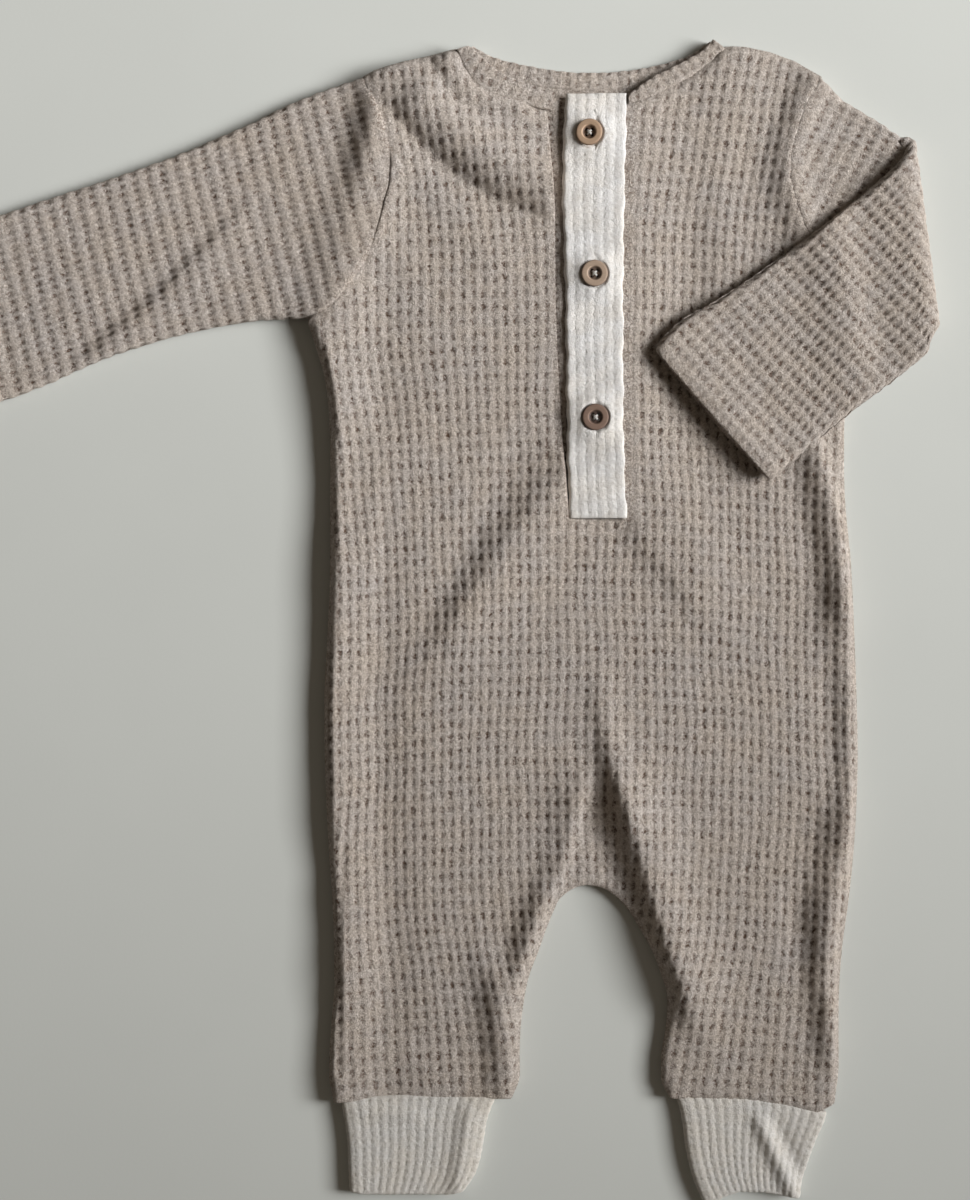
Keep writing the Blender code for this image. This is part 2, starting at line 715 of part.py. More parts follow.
def sleeve_points(first, second, bulge, height, wall_in, cells):
    """Points of flattened rings between two edges seen from above: rows x ring points, and each one's rise.

    bulge moves the middle of a row along the sleeve, so that its first row follows the armhole.
    """
    rows = len(first)
    points = 2 * cells + 8
    seen = np.zeros((rows, points, 2))
    risen = np.zeros((rows, points))
    for row in range(rows):
        share, beyond, rise = flat_ring(cells, cells, wall_in[row], height[row])
        line = second[row] - first[row]
        length = np.hypot(*line)
        end = height[row] / 2 / length
        inset = end + share * (1.0 - 2.0 * end) + beyond / length
        seen[row] = first[row] + inset[:, None] * line + bulge(row, inset)
        risen[row] = rise
    return seen, risen


def armhole_bulge(first, second, edge_column, reach, gap_side):
    """How far each point of a row stands off its straight line so as to follow the body's armhole."""

    def bulge(row, inset):
        inset = np.clip(inset, 0.0, 1.0)
        start = first[0] + inset[:, None] * (second[0] - first[0])
        clear = gap_side * ARMHOLE_GAP * (1.0 + 2.0 * inset**2)
        wanted = smooth_read(start[:, 1], BODY_EDGES, edge_column) + clear
        off = np.zeros((len(inset), 2))
        off[:, 0] = (wanted - start[:, 0]) * reach[row]
        return off

    return bulge


def make_right_sleeve(collection, parent):
    """The sleeve that lies stretched out: a flattened tube from armhole to turned hem."""
    along = np.concatenate([[0.0, 0.03], np.linspace(0.08, 0.96, 13), [1.0]])
    edges = [smooth_read(along, RIGHT_SLEEVE_EDGES, column) for column in (1, 2, 3, 4)]
    first = np.stack(edges[:2], axis=-1)
    second = np.stack(edges[2:], axis=-1)
    hem = np.clip((along - 0.9) / 0.08, 0.0, 1.0)
    height = FLAT_HEIGHT + (SLEEVE_END_HEIGHT - FLAT_HEIGHT) * hem
    wall = KNIT + (SLEEVE_END_WALL - KNIT) * hem
    reach = np.clip(1.0 - along / 0.4, 0.0, 1.0) ** 2
    bulge = armhole_bulge(first, second, 1, reach, -1.0)
    tubes = []
    for wall_in in (np.zeros(len(along)), wall):
        seen, rise = sleeve_points(first, second, bulge, height, wall_in, 9)
        over = np.clip((rise - FLAT_HEIGHT / 2) / (FLAT_HEIGHT / 2 - KNIT), 0.0, 1.0)
        folds = fold_height(seen[..., 0], seen[..., 1], RIGHT_SLEEVE_FOLDS)
        tubes.append(np.dstack([seen, rise + folds * over]))
    return tube_wall("right_sleeve", *tubes, "oatmeal waffle knit", collection, parent)


def make_left_sleeve(collection, parent):
    """The sleeve folded over the chest: a flattened tube turned over itself, then lying on the chest."""
    rows = np.array(LEFT_SLEEVE_EDGES)
    order = np.arange(len(rows), dtype=float)
    table = np.column_stack([order, rows])
    along = np.concatenate([[0.0, 0.4], np.arange(1, 19)])
    turn = np.radians(smooth_read(along, table, 1))
    first = np.stack([smooth_read(along, table, 2), smooth_read(along, table, 3)], axis=-1)
    second = np.stack([smooth_read(along, table, 4), smooth_read(along, table, 5)], axis=-1)
    hem = np.clip((along - 16.0) / 1.5, 0.0, 1.0)
    height = FLAT_HEIGHT + (SLEEVE_END_HEIGHT - FLAT_HEIGHT) * hem
    wall = KNIT + (SLEEVE_END_WALL - KNIT) * hem
    reach = np.clip(1.0 - along / 3.5, 0.0, 1.0) ** 2
    bulge = armhole_bulge(first, second, 2, reach, 1.0)
    tubes = []
    for wall_in in (np.zeros(len(along)), wall):
        seen, rise = sleeve_points(first, second, bulge, height, wall_in, 9)
        out = second - first
        out = np.column_stack([-out[:, 1], out[:, 0]]) / np.linalg.norm(out, axis=1)[:, None]
        side = np.sin(turn)[:, None]
        over = np.cos(turn)[:, None]
        centre = height[:, None] / 2
        thick = rise - centre
        turned = SLEEVE_TURN_RADIUS * (1.0 - over)
        seen = seen + out[:, None, :] * ((SLEEVE_TURN_RADIUS - thick) * side)[..., None]
        z = centre + turned + thick * over
        upper = np.clip((over < -0.99) * (-thick) / (FLAT_HEIGHT / 2 - KNIT), 0.0, 1.0)
        z = z + upper * fold_height(seen[..., 0], seen[..., 1], LEFT_SLEEVE_FOLDS)
        tubes.append(np.dstack([seen, z]))
    return tube_wall("left_sleeve", *tubes, "oatmeal waffle knit", collection, parent)


def make_cuff(name, table, end, folds, collection, parent):
    """A flattened rib-knit tube, plain inside and under, its ribs raised on top and round its sides."""
    down = np.linspace(0.0, 1.0, 8)[:, None]
    left = smooth_read(down, table, 1)
    width = smooth_read(down, table, 2) - left
    tubes = []
    for wall_in in (0.0, CUFF_KNIT):
        share, beyond, rise = flat_ring(6, 2 * CUFF_RIBS, wall_in, CUFF_HEIGHT)
        across = left + CUFF_HEIGHT / 2 + share * (width - CUFF_HEIGHT) + beyond
        hem_up = straight_read(across[0], HEMS)[None, :] - GAP
        end_up = straight_read(across[-1], end)[None, :]
        up = hem_up + down * (end_up - hem_up)
        upper = np.clip((rise - CUFF_HEIGHT / 2) / (CUFF_HEIGHT / 2 - CUFF_KNIT), 0.0, 1.0)
        rib_height = 0.0 if wall_in else CUFF_RIB_HEIGHT
        ribs = rib_height * (0.5 - 0.5 * np.cos(2 * math.pi * CUFF_RIBS * share))
        raised = fold_height(across, up, folds) * np.clip(down / 0.2, 0.0, 1.0) + ribs
        tubes.append(np.dstack([across, up, rise + raised * upper]))
    return tube_wall(name, *tubes, "cream rib knit", collection, parent)


# ---------------------------------------------------------------- neck and placket


def make_binding(name, table, panel_top, collection, parent):
    """A folded strip round the neck: a squashed oval section carried from one end to the other."""
    rows = np.array(table, float)
    order = np.arange(len(rows), dtype=float)
    full = np.column_stack([order, rows])
    along = np.linspace(0.0, len(rows) - 1.0, 2 * len(rows) - 1)
    free = np.stack([smooth_read(along, full, 1), smooth_read(along, full, 2)], axis=-1)
    seam_across = smooth_read(along, full, 3)
    seam = np.stack([seam_across, straight_read(seam_across, panel_top) + 4 * GAP], axis=-1)
    middle = smooth_read(along, full, 4)
    turn = np.linspace(0.0, 2 * math.pi, 10, endpoint=False)
    share = 0.5 + 0.5 * np.sign(np.cos(turn)) * np.abs(np.cos(turn)) ** BINDING_ROUNDNESS
    rise = BINDING_THICK / 2 * np.sign(np.sin(turn)) * np.abs(np.sin(turn)) ** BINDING_ROUNDNESS
    seen = free[:, None, :] + share[None, :, None] * (seam - free)[:, None, :]
    z = middle[:, None] + rise[None, :]
    points = np.dstack([seen, z]).reshape(-1, 3)
    columns = len(turn)
    faces = [list(face) for face in tube_faces(len(along), columns, 0)]
    faces.append(list(range(columns)))
    faces.append(list(range(len(points) - columns, len(points))))
    mesh = mesh_of(name, points, faces)
    face_outward(mesh)
    return add_object(name, mesh, "oatmeal waffle knit", collection, parent)


def make_placket_top(collection, parent):
    """The cream strip: ribs raised along its top, and three buttonholes cut through."""
    start, end = PLACKET_EDGES[0][0], PLACKET_EDGES[-1][0]
    ends = []
    for _, hole_up, _ in BUTTONS:
        ends += [hole_up + BUTTONHOLE_LENGTH / 2, hole_up - BUTTONHOLE_LENGTH / 2]
    stops = [start, *ends, end]
    stretches = [np.linspace(above, below, 3) for above, below in zip(stops[:-1], stops[1:])]
    levels = np.unique(np.concatenate(stretches))[::-1]
    left = smooth_read(levels, PLACKET_EDGES, 1)
    right = smooth_read(levels, PLACKET_EDGES, 2)
    share = np.linspace(0.0, 1.0, 2 * PLACKET_RIBS + 1)
    across = left[:, None] + share[None, :] * (right - left)[:, None]
    hole = int(np.argmin(abs(across[len(levels) // 2] - BUTTONHOLE_ACROSS)))
    across = np.insert(across, hole, across[:, hole], axis=1)
    across[:, hole] = BUTTONHOLE_ACROSS - BUTTONHOLE_WIDTH / 2
    across[:, hole + 1] = BUTTONHOLE_ACROSS + BUTTONHOLE_WIDTH / 2
    share = np.insert(share, hole, share[hole])
    up = np.repeat(levels[:, None], across.shape[1], axis=1)
    edge = np.minimum(share, 1.0 - share)[None, :] * (right - left)[:, None]
    soft = np.clip(edge / PLACKET_SOFT_EDGE, 0.0, 1.0)
    ribs = PLACKET_RIB_HEIGHT * (0.5 - 0.5 * np.cos(2 * math.pi * PLACKET_RIBS * share))[None, :]
    top_height = PLACKET_MIDDLE + PLACKET_THICK / 2 - PLACKET_EDGE_DROP * (1.0 - soft) + ribs * soft
    top = np.dstack([across, up, top_height])
    bottom = np.dstack([across, up, np.full(across.shape, PLACKET_MIDDLE - PLACKET_THICK / 2)])
    kept = np.ones((len(levels) - 1, across.shape[1] - 1), bool)
    for _, hole_up, _ in BUTTONS:
        inside = (levels[:-1] < hole_up + BUTTONHOLE_LENGTH / 2 + 0.1) & (
            levels[1:] > hole_up - BUTTONHOLE_LENGTH / 2 - 0.1
        )
        kept[inside, hole] = False
    return sheet_wall("placket_top", top, bottom, kept, "cream rib knit", collection, parent)


def make_placket_under(collection, parent):
    """The strip under the other one, from beneath the front's left slit edge."""
    levels = np.linspace(UNDER_PLACKET_TOP_UP, SLIT_END_UP + 5 * GAP, 12)
    left = smooth_read(levels, SLIT_EDGES, 1) - UNDER_PLACKET_REACH
    right = smooth_read(levels, PLACKET_EDGES, 2) - UNDER_PLACKET_INSET
    share = np.linspace(0.0, 1.0, 4)
    across = left[:, None] + share[None, :] * (right - left)[:, None]
    up = np.repeat(levels[:, None], 4, axis=1)
    sheets = []
    for side in (0.5, -0.5):
        height = np.full(across.shape, UNDER_PLACKET_MIDDLE + side * UNDER_PLACKET_THICK)
        sheets.append(np.dstack([across, up, height]))
    kept = np.ones((len(levels) - 1, 3), bool)
    return sheet_wall("placket_under", *sheets, kept, "cream rib knit", collection, parent)


def button_profile():
    """Half of the button's section, from the middle of its dish over the rim to the middle of its back."""
    mesh = bpy.data.meshes.new("button_profile")
    radius = BUTTON_DIAMETER / 2
    points = [(share * radius * MM, 0.0, height * MM) for share, height in BUTTON_PROFILE]
    edges = [(at, at + 1) for at in range(len(points) - 1)]
    mesh.from_pydata(points, edges, [])
    return mesh


def turn_round(button):
    """Turns the button's profile once round its axis."""
    screw = button.modifiers.new("turned", "SCREW")
    screw.steps = BUTTON_STEPS
    screw.render_steps = BUTTON_STEPS
    screw.use_merge_vertices = True
    screw.merge_threshold = 1e-5
    screw.use_smooth_shade = True


def drill_hole(button, name, angle, cutters):
    """Cuts one of the thread holes through the button."""
    drill = bmesh.new()
    bmesh.ops.create_cone(
        drill,
        cap_ends=True,
        segments=8,
        radius1=BUTTON_HOLE_DIAMETER / 2 * MM,
        radius2=BUTTON_HOLE_DIAMETER / 2 * MM,
        depth=4 * BUTTON_THICK * MM,
    )
    mesh = bpy.data.meshes.new(name)
    drill.to_mesh(mesh)
    drill.free()
    cutter = bpy.data.objects.new(name, mesh)
    cutters.objects.link(cutter)
    cutter.parent = button
    reach = BUTTON_HOLE_SPACING / 2 / math.cos(math.pi / 4) * MM
    cutter.location = (reach * math.cos(angle), reach * math.sin(angle), 0.0)
    cutter.hide_render = True
    cutter.display_type = "WIRE"
    cut = button.modifiers.new(name, "BOOLEAN")
    cut.operation = "DIFFERENCE"
    cut.object = cutter


def make_buttons(collection, cutters, parent):
    """Turned wooden buttons with a flat rim and a dished middle, sewn on through four holes."""
    profile = button_profile()
    rest = PLACKET_MIDDLE + PLACKET_THICK / 2 + PLACKET_RIB_HEIGHT + GAP
    for number, (across, up, tilt) in enumerate(BUTTONS, start=1):
        button = add_object(f"button_{number}", profile, "light wood", collection, parent)
        lift = BUTTON_DIAMETER / 2 * math.sin(math.radians(tilt))
        button.location = (across * MM, up * MM, (rest + lift) * MM)
        button.rotation_euler = (0.0, math.radians(-tilt), 0.0)
        turn_round(button)
        for hole in range(4):
            drill_hole(button, f"drill_{number}_{hole + 1}", math.radians(45 + 90 * hole), cutters)


def main():
    clear_scene()
    collection = bpy.data.collections.new("baby_romper")
    cutters = bpy.data.collections.new("cutters")
    bpy.context.scene.collection.children.link(collection)
    bpy.context.scene.collection.children.link(cutters)
    garment = bpy.data.objects.new("garment", None)
    collection.objects.link(garment)
    garment.location = (CENTRE_LINE_X * MM, LEG_HEM_Y * MM, 0.0)
    make_back(collection, garment)
    make_front(collection, garment)
    make_right_sleeve(collection, garment)
    make_left_sleeve(collection, garment)
    make_cuff("right_ankle_cuff", RIGHT_CUFF_EDGES, RIGHT_CUFF_END, RIGHT_CUFF_FOLDS, collection, garment)
    make_cuff("left_ankle_cuff", LEFT_CUFF_EDGES, LEFT_CUFF_END, LEFT_CUFF_FOLDS, collection, garment)
    make_binding("neck_binding_right", RIGHT_BINDING, FRONT_TOP, collection, garment)
    make_binding("neck_binding_left", LEFT_BINDING, FRONT_TOP, collection, garment)
    make_binding("neck_binding_back", BACK_BINDING, BACK_TOP, collection, garment)
    make_placket_top(collection, garment)
    make_placket_under(collection, garment)
    make_buttons(collection, cutters, garment)


main()
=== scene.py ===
"""The looks of a baby romper laid flat: waffle-knit cloth, cream rib knit, wooden buttons and thread.

Lengths in the tables are millimetres: "across" runs from the garment's centre line to the right as it
lies, "up" runs from the leg hems toward the neck, and "height" is over the surface it lies on.
"""

import math

import bmesh
import bpy
import numpy as np
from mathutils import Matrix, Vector
from mathutils.geometry import delaunay_2d_cdt


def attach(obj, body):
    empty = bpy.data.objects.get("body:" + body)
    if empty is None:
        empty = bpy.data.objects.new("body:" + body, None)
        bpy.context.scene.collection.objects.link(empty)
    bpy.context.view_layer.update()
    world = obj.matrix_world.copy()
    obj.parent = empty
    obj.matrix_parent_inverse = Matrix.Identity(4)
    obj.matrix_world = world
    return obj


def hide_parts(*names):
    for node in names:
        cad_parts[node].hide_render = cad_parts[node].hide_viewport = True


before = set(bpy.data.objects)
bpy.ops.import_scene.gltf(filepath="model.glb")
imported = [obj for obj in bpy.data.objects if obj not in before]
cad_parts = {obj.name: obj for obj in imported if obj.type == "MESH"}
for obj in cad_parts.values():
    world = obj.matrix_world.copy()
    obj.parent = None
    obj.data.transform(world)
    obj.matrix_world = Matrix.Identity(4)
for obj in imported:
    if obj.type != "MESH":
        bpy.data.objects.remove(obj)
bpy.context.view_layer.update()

MM = 0.001
CENTRE_LINE_X = 63.68
LEG_HEM_Y = -204.88

# ---------------------------------------------------------------- sizes, as the solids have them

KNIT = 2.2  # thickness of the knit
FLAT_HEIGHT = 6.2  # from the surface to the front's face
FRONT_MIDDLE = FLAT_HEIGHT - KNIT / 2
SEAM_MIDDLE = 3.5  # height of the middle of the front's cloth at a seam
ROLL_WIDTH = 5.5  # how far in from a seam the front rolls down
ROLL_DROP = FRONT_MIDDLE - SEAM_MIDDLE
WALL_SLACK = 0.3  # how much thicker than the knit the front's wall is away from its seams
RIM_WIDTH = 4.5  # from the body's left edge to the crest of its raised rim
RIM_REACH = 19.0  # from that crest to where the cloth lies flat again
RIM_HOLLOW = 1.5  # how far the cloth sinks there
RIM_HOLLOW_WIDTH = 11.0
ARMHOLE_ROLL = 0.9  # how far in from an armhole the cloth turns down to the seam
ARMHOLE_DROP = 0.32
ARMHOLE_RIDGE = 3.5  # how high the cloth stands beside the seam
ARMHOLE_RIDGE_WIDTH = 8.0
SLEEVE_RIDGE_WIDTH = 9.0  # the same, on the sleeve's side of the seam
NECK_DROP = 1.2  # how far the front sinks along the neck's edge
NECK_DROP_WIDTH = 1.8

SLIT_TOP_UP = 425.8
SLIT_END_UP = 248.7
UNDER_STRIP = 2.2  # how far the cloth reaches under the strip on the right
UNDERARM_UP = 334.5
SHOULDER_UP = 438.6

# Half widths of the strips where the waffle is pressed flat
PRESSED_SEAM = 1.1
PRESSED_NECK = 1.6
PRESSED_ARMHOLE = 4.5
PRESSED_SLIT = 1.8
PRESSED_SLIT_END = 1.4
PRESSED_BACK = 1.3
PRESSED_SLEEVE = 2.4
PRESSED_SLEEVE_END = 2.5
ARMHOLE_PRESS = 0.6  # how far the waffle is pressed flat along the front's armholes

# Edges of the body: up, left edge, right edge
BODY_EDGES = (
    (460.0, -97.6, 98.9), (438.6, -97.6, 98.9), (429.1, -94.6, 93.6), (416.2, -89.9, 89.0),
    (404.0, -85.9, 85.8), (395.0, -85.8, 86.0), (386.5, -88.0, 87.9), (377.5, -90.3, 91.2),
    (364.6, -95.5, 96.8), (353.9, -102.3, 103.2), (345.3, -108.0, 108.6), (338.8, -114.5, 114.8),
    (334.5, -120.9, 121.0), (328.0, -119.0, 118.4), (320.0, -116.5, 115.6), (308.7, -113.5, 112.0),
    (287.2, -111.6, 109.0), (257.1, -111.4, 109.4), (231.3, -111.4, 111.8), (196.9, -112.7, 113.5),
    (171.1, -113.9, 114.4), (149.6, -113.8, 114.8), (128.1, -113.1, 114.4), (106.6, -112.0, 113.1),
    (85.1, -110.5, 110.9), (65.0, -109.7, 108.2), (50.7, -109.6, 107.0), (35.0, -110.6, 106.6),
    (20.0, -111.7, 106.6), (10.0, -111.9, 106.4), (0.0, -110.1, 105.0),
)

# Inner edges of the legs: up, inner edge of the left leg, inner edge of the right leg
LEG_INNER_EDGES = (
    (92.0, -0.9, -0.9), (91.5, -4.2, 2.2), (90.4, -7.2, 5.8), (88.6, -10.2, 9.0), (85.6, -13.5, 12.8),
    (80.8, -15.9, 17.0), (72.2, -19.4, 22.3), (63.6, -22.4, 27.0), (52.9, -26.5, 31.2), (42.1, -28.8, 34.0),
    (29.2, -30.3, 33.2), (18.0, -30.7, 31.4), (8.0, -30.9, 31.2), (0.0, -34.0, 35.0),
)

# The slit in the front for the placket: up, left edge, right edge
SLIT_EDGES = (
    (460.0, -19.2, 16.0), (427.0, -18.9, 15.9), (386.1, -15.9, 15.0), (330.2, -14.6, 14.2),
    (282.9, -12.0, 14.2), (248.7, -9.4, 15.9),
)

# The shoulder seams: across, up
LEFT_SHOULDER = (
    (-97.6, 438.6), (-92.5, 441.4), (-81.7, 444.6), (-68.0, 448.0), (-57.4, 451.2),
)
RIGHT_SHOULDER = (
    (58.2, 452.2), (66.7, 451.9), (77.4, 449.6), (88.2, 445.6), (98.9, 438.6),
)

# Top edge of the front, in two stretches either side of the slit: across, up
FRONT_TOP_LEFT = (
    *LEFT_SHOULDER,
    (-54.6, 443.2), (-49.9, 436.0), (-42.1, 431.2), (-30.1, 427.9), (-18.9, 425.4),
)
FRONT_TOP_RIGHT = (
    (15.9, 426.2), (23.6, 429.8), (32.2, 434.2), (43.0, 440.0), (52.5, 446.0),
    *RIGHT_SHOULDER,
)
FRONT_TOP = FRONT_TOP_LEFT + FRONT_TOP_RIGHT

# Top edge of the back: across, up
BACK_TOP = (
    *LEFT_SHOULDER,
    (-50.5, 446.2), (-44.7, 442.8), (-38.7, 440.4), (-30.1, 438.0), (-17.2, 435.7), (-4.3, 434.4),
    (4.3, 434.4), (17.2, 435.4), (30.1, 437.6), (43.0, 441.6), (52.0, 447.6),
    *RIGHT_SHOULDER,
)

# Lower edge of the legs: across, up
HEMS = (
    (-112.0, -2.2), (-98.9, -0.9), (-81.7, 0.0), (-34.4, 0.4), (35.3, 0.4), (64.5, -0.9), (81.7, -3.0),
    (96.8, -6.4), (106.0, -9.0),
)

# Folds. A ridge has a height, a valley a negative one.
# from across, from up, to across, to up, half width, height
FRONT_FOLDS = (
    (-72.0, 398.0, -46.0, 366.0, 9.0, 1.0), (-34.0, 270.0, -68.0, 208.0, 9.0, -1.2),
    (22.0, 280.0, 48.0, 238.0, 11.0, 1.0), (89.0, 272.0, 98.0, 222.0, 7.0, -1.5),
    (103.0, 175.0, 108.0, 105.0, 6.0, -1.2), (90.0, 78.0, 96.0, 32.0, 7.0, -1.6),
    (8.0, 152.0, 16.0, 126.0, 6.0, 0.9), (4.0, 112.0, 22.0, 74.0, 6.0, -1.5),
    (-15.0, 108.0, -42.0, 52.0, 8.0, -1.5), (-22.0, 86.0, -28.0, 58.0, 5.0, 0.9),
    (-66.0, 22.0, -50.0, 18.0, 9.0, -1.2), (-98.0, 16.0, -48.0, 17.0, 3.5, 0.8),
    (66.0, 398.0, 68.0, 372.0, 9.0, -0.8),
)

# Smaller creases, which the solids don't have
FRONT_CREASES = (
    (-106.4, 110.0, -107.6, 12.0, 1.1, -0.9),
    (-84.0, 400.0, -92.0, 366.0, 4.0, 0.5),
)
# Crests: height, reach to the left of the crest, reach to its right, and its path from top to bottom
FRONT_CRESTS = (
    (3.0, 9.0, 16.0, ((-10.8, 265.7), (-22.0, 252.0), (-36.6, 235.6), (-53.8, 209.0))),
    (2.2, 7.0, 14.0, ((-89.0, 276.0), (-91.0, 246.0))),
    (2.3, 7.0, 19.0, ((14.6, 290.0), (15.0, 272.0), (17.0, 256.0), (26.0, 238.0), (37.0, 225.0))),
    (2.0, 6.0, 20.0, ((15.5, 428.0), (14.5, 330.0))),
    (-1.9, 15.0, 12.0, ((44.0, 425.0), (41.0, 330.0))),
    (4.4, 12.0, 4.0, ((94.0, 290.0), (100.0, 268.0), (106.0, 244.0), (109.6, 216.0))),
    (2.2, 8.0, 3.0, ((110.4, 212.0), (111.6, 160.0), (110.4, 112.0))),
    (4.2, 9.0, 5.0, ((109.0, 116.0), (102.5, 78.0), (99.8, 50.0), (104.6, 24.0))),
    (6.4, 7.0, 14.0, ((17.0, 124.0), (23.5, 102.0), (30.5, 77.0), (40.0, 50.0))),
    (3.6, 10.0, 4.0, ((-5.5, 126.0), (-13.0, 100.0), (-24.0, 76.5), (-32.0, 52.0))),
    (1.5, 5.0, 7.0, ((5.0, 171.0), (13.8, 122.0))),
    (2.0, 14.0, 22.0, ((50.0, 446.0), (47.0, 420.0))),
    (3.6, 8.0, 7.0, ((-41.5, 48.0), (-37.5, 30.0), (-36.5, 14.0))),
)
# Crests whose left side meets the cloth beside it in a crease
FOOTED_CRESTS = (
    (6.6, 14.0, 13.0, ((-70.0, 428.0), (-58.0, 416.0), (-47.0, 407.0), (-34.0, 399.0), (-17.0, 392.0))),
    (3.6, 8.0, 8.0, ((-62.0, 450.0), (-57.0, 442.0), (-51.5, 434.5), (-43.0, 430.0), (-31.0, 427.5))),
)
# The crest that runs beside the armhole of the stretched sleeve, over both pieces
ARMHOLE_CREST = (
    (
        3.6,
        14.0,
        18.0,
        ((-86.0, 440.0), (-92.0, 416.0), (-97.0, 394.7), (-103.0, 369.0), (-107.5, 347.0), (-110.0, 334.0)),
    ),
)
# Crests of the sleeves, stretched and folded
RIGHT_SLEEVE_CRESTS = (
    (1.8, 6.0, 7.0, ((-88.0, 436.0), (-94.5, 408.0))),
    (2.2, 4.5, 10.0, ((-156.0, 372.0), (-182.7, 344.0), (-206.0, 325.0))),
)
LEFT_SLEEVE_CRESTS = (
    (3.2, 15.0, 9.0, ((100.0, 384.0), (107.0, 352.0), (111.0, 330.0))),
    (0.9, 4.0, 16.0, ((29.0, 321.0), (54.0, 294.0), (77.0, 268.0))),
)
# How high the raised rim at the body's left edge stands: up, rise
LEFT_RIM = (
    (0.0, 1.6), (20.0, 1.2), (33.0, 1.4), (46.0, 2.8), (85.0, 2.9), (98.0, 1.8), (110.0, 2.5), (150.0, 2.8),
    (188.0, 2.7), (210.0, 3.2), (227.0, 3.7), (240.0, 3.4), (253.0, 2.6), (266.0, 2.4), (285.0, 3.3),
    (304.0, 4.0), (330.0, 3.6), (380.0, 2.4),
)
# Creases of the back, as those of the front
BACK_CREASES = (
    (-70.0, 400.0, -20.0, 372.0, 8.0, -0.7), (80.0, 330.0, 50.0, 300.0, 9.0, -0.7),
    (-60.0, 250.0, -20.0, 180.0, 10.0, -0.8), (30.0, 200.0, 66.0, 150.0, 9.0, -0.7),
    (-12.0, 120.0, -46.0, 60.0, 7.0, -0.8), (18.0, 110.0, 52.0, 48.0, 8.0, -0.8),
    (-100.0, 300.0, -96.0, 140.0, 5.0, -0.5),
)

# ---------------------------------------------------------------- the knit of the body

WALE = 4.09  # from rib to rib
COURSE = 5.93  # from cross bridge to cross bridge
WALES, COURSES = (-31, 31), (-4, 80)  # first and last of the cloth that the panels are cut from
FINE = 4  # points of the cloth to a wale and to a course
RELIEF = 0.95  # from a pit to the top of a rib
RELIEF_ABOVE = 0.3  # how far the ribs stand over the solid's face
PRESSED_DEPTH = 0.4  # the share of the relief that the pressed strips lie below the ribs

# How far the knit is pulled sideways, by level and by place across
PULL_UP = (0.0, 35.0, 68.0, 98.0, 240.0, 279.0, 313.0, 347.0, 378.0, 403.0, 425.0, 450.0)
PULL_ACROSS = (-110.0, -85.0, -60.0, -30.0, 0.0, 30.0, 60.0, 85.0, 110.0)
PULL_SIDEWAYS = (
    (1.0, 6.5, 9.0, 14.0, 0.0, -17.0, -11.5, -6.0, -2.0), (0.5, 4.5, 6.0, 8.5, 0.0, -9.0, -7.0, -4.0, -1.5),
    (0.0, 1.5, 1.8, 2.0, 0.0, -2.0, -2.2, -1.8, -1.0), (0.0, 0.0, 0.0, 0.0, 0.0, 0.0, 0.0, 0.0, 0.0),
    (0.0, 0.0, 0.0, 0.0, 0.0, 0.0, 0.0, 0.0, 0.0), (-2.5, -2.0, -1.4, -0.7, 0.0, -0.5, 0.0, 0.0, 0.0),
    (-8.5, -6.0, -3.5, -1.0, 0.0, -0.5, 0.5, 0.5, 0.5), (-12.0, -8.0, -5.0, -1.5, 0.0, 0.0, 1.5, 1.5, 2.0),
    (-9.0, -8.0, -6.0, -3.5, 0.0, 1.5, 3.0, 3.0, 6.0), (-8.0, -8.5, -8.0, -5.5, 0.0, 3.5, 5.5, 6.5, 12.0),
    (-12.0, -12.0, -11.0, -7.5, 0.0, 6.0, 9.5, 11.0, 18.0),
    (-19.0, -17.0, -14.0, -9.5, 0.0, 9.5, 14.0, 16.5, 25.0),
)
# How far its courses are pulled up, by place across, and the share of that by level
ARCH = (-8.0, -4.8, -2.4, -0.6, 0.0, -0.8, -3.2, -6.6, -11.0)
ARCH_SHARE = (0.5, 0.7, 0.85, 1.0, 1.0, 1.0, 1.0, 1.0, 1.0, 0.9, 0.8, 0.7)

# ---------------------------------------------------------------- reading tables


def clamp(values):
    """Values held between 0 and 1."""
    return np.clip(values, 0.0, 1.0)


def bell(distance, width):
    """1 at no distance, falling as exp(-(distance / width)^2)."""
    return np.exp(-((distance / width) ** 2))


def wave(turns):
    """A raised cosine: 1 at whole turns and 0 halfway."""
    return 0.5 + 0.5 * np.cos(2 * math.pi * turns)


def unit(vectors):
    """The vectors at length 1; those of no length stay."""
    length = np.linalg.norm(vectors, axis=-1, keepdims=True)
    return vectors / np.where(length > 0, length, 1.0)


def lengths_along(path):
    """The length of the path up to each of its points."""
    return np.concatenate([[0.0], np.cumsum(np.linalg.norm(np.diff(path, axis=0), axis=1))])


def numbered(table):
    """The table with its rows' numbers, from 0, as its first column."""
    return np.column_stack([np.arange(len(table), dtype=float), np.array(table, float)])


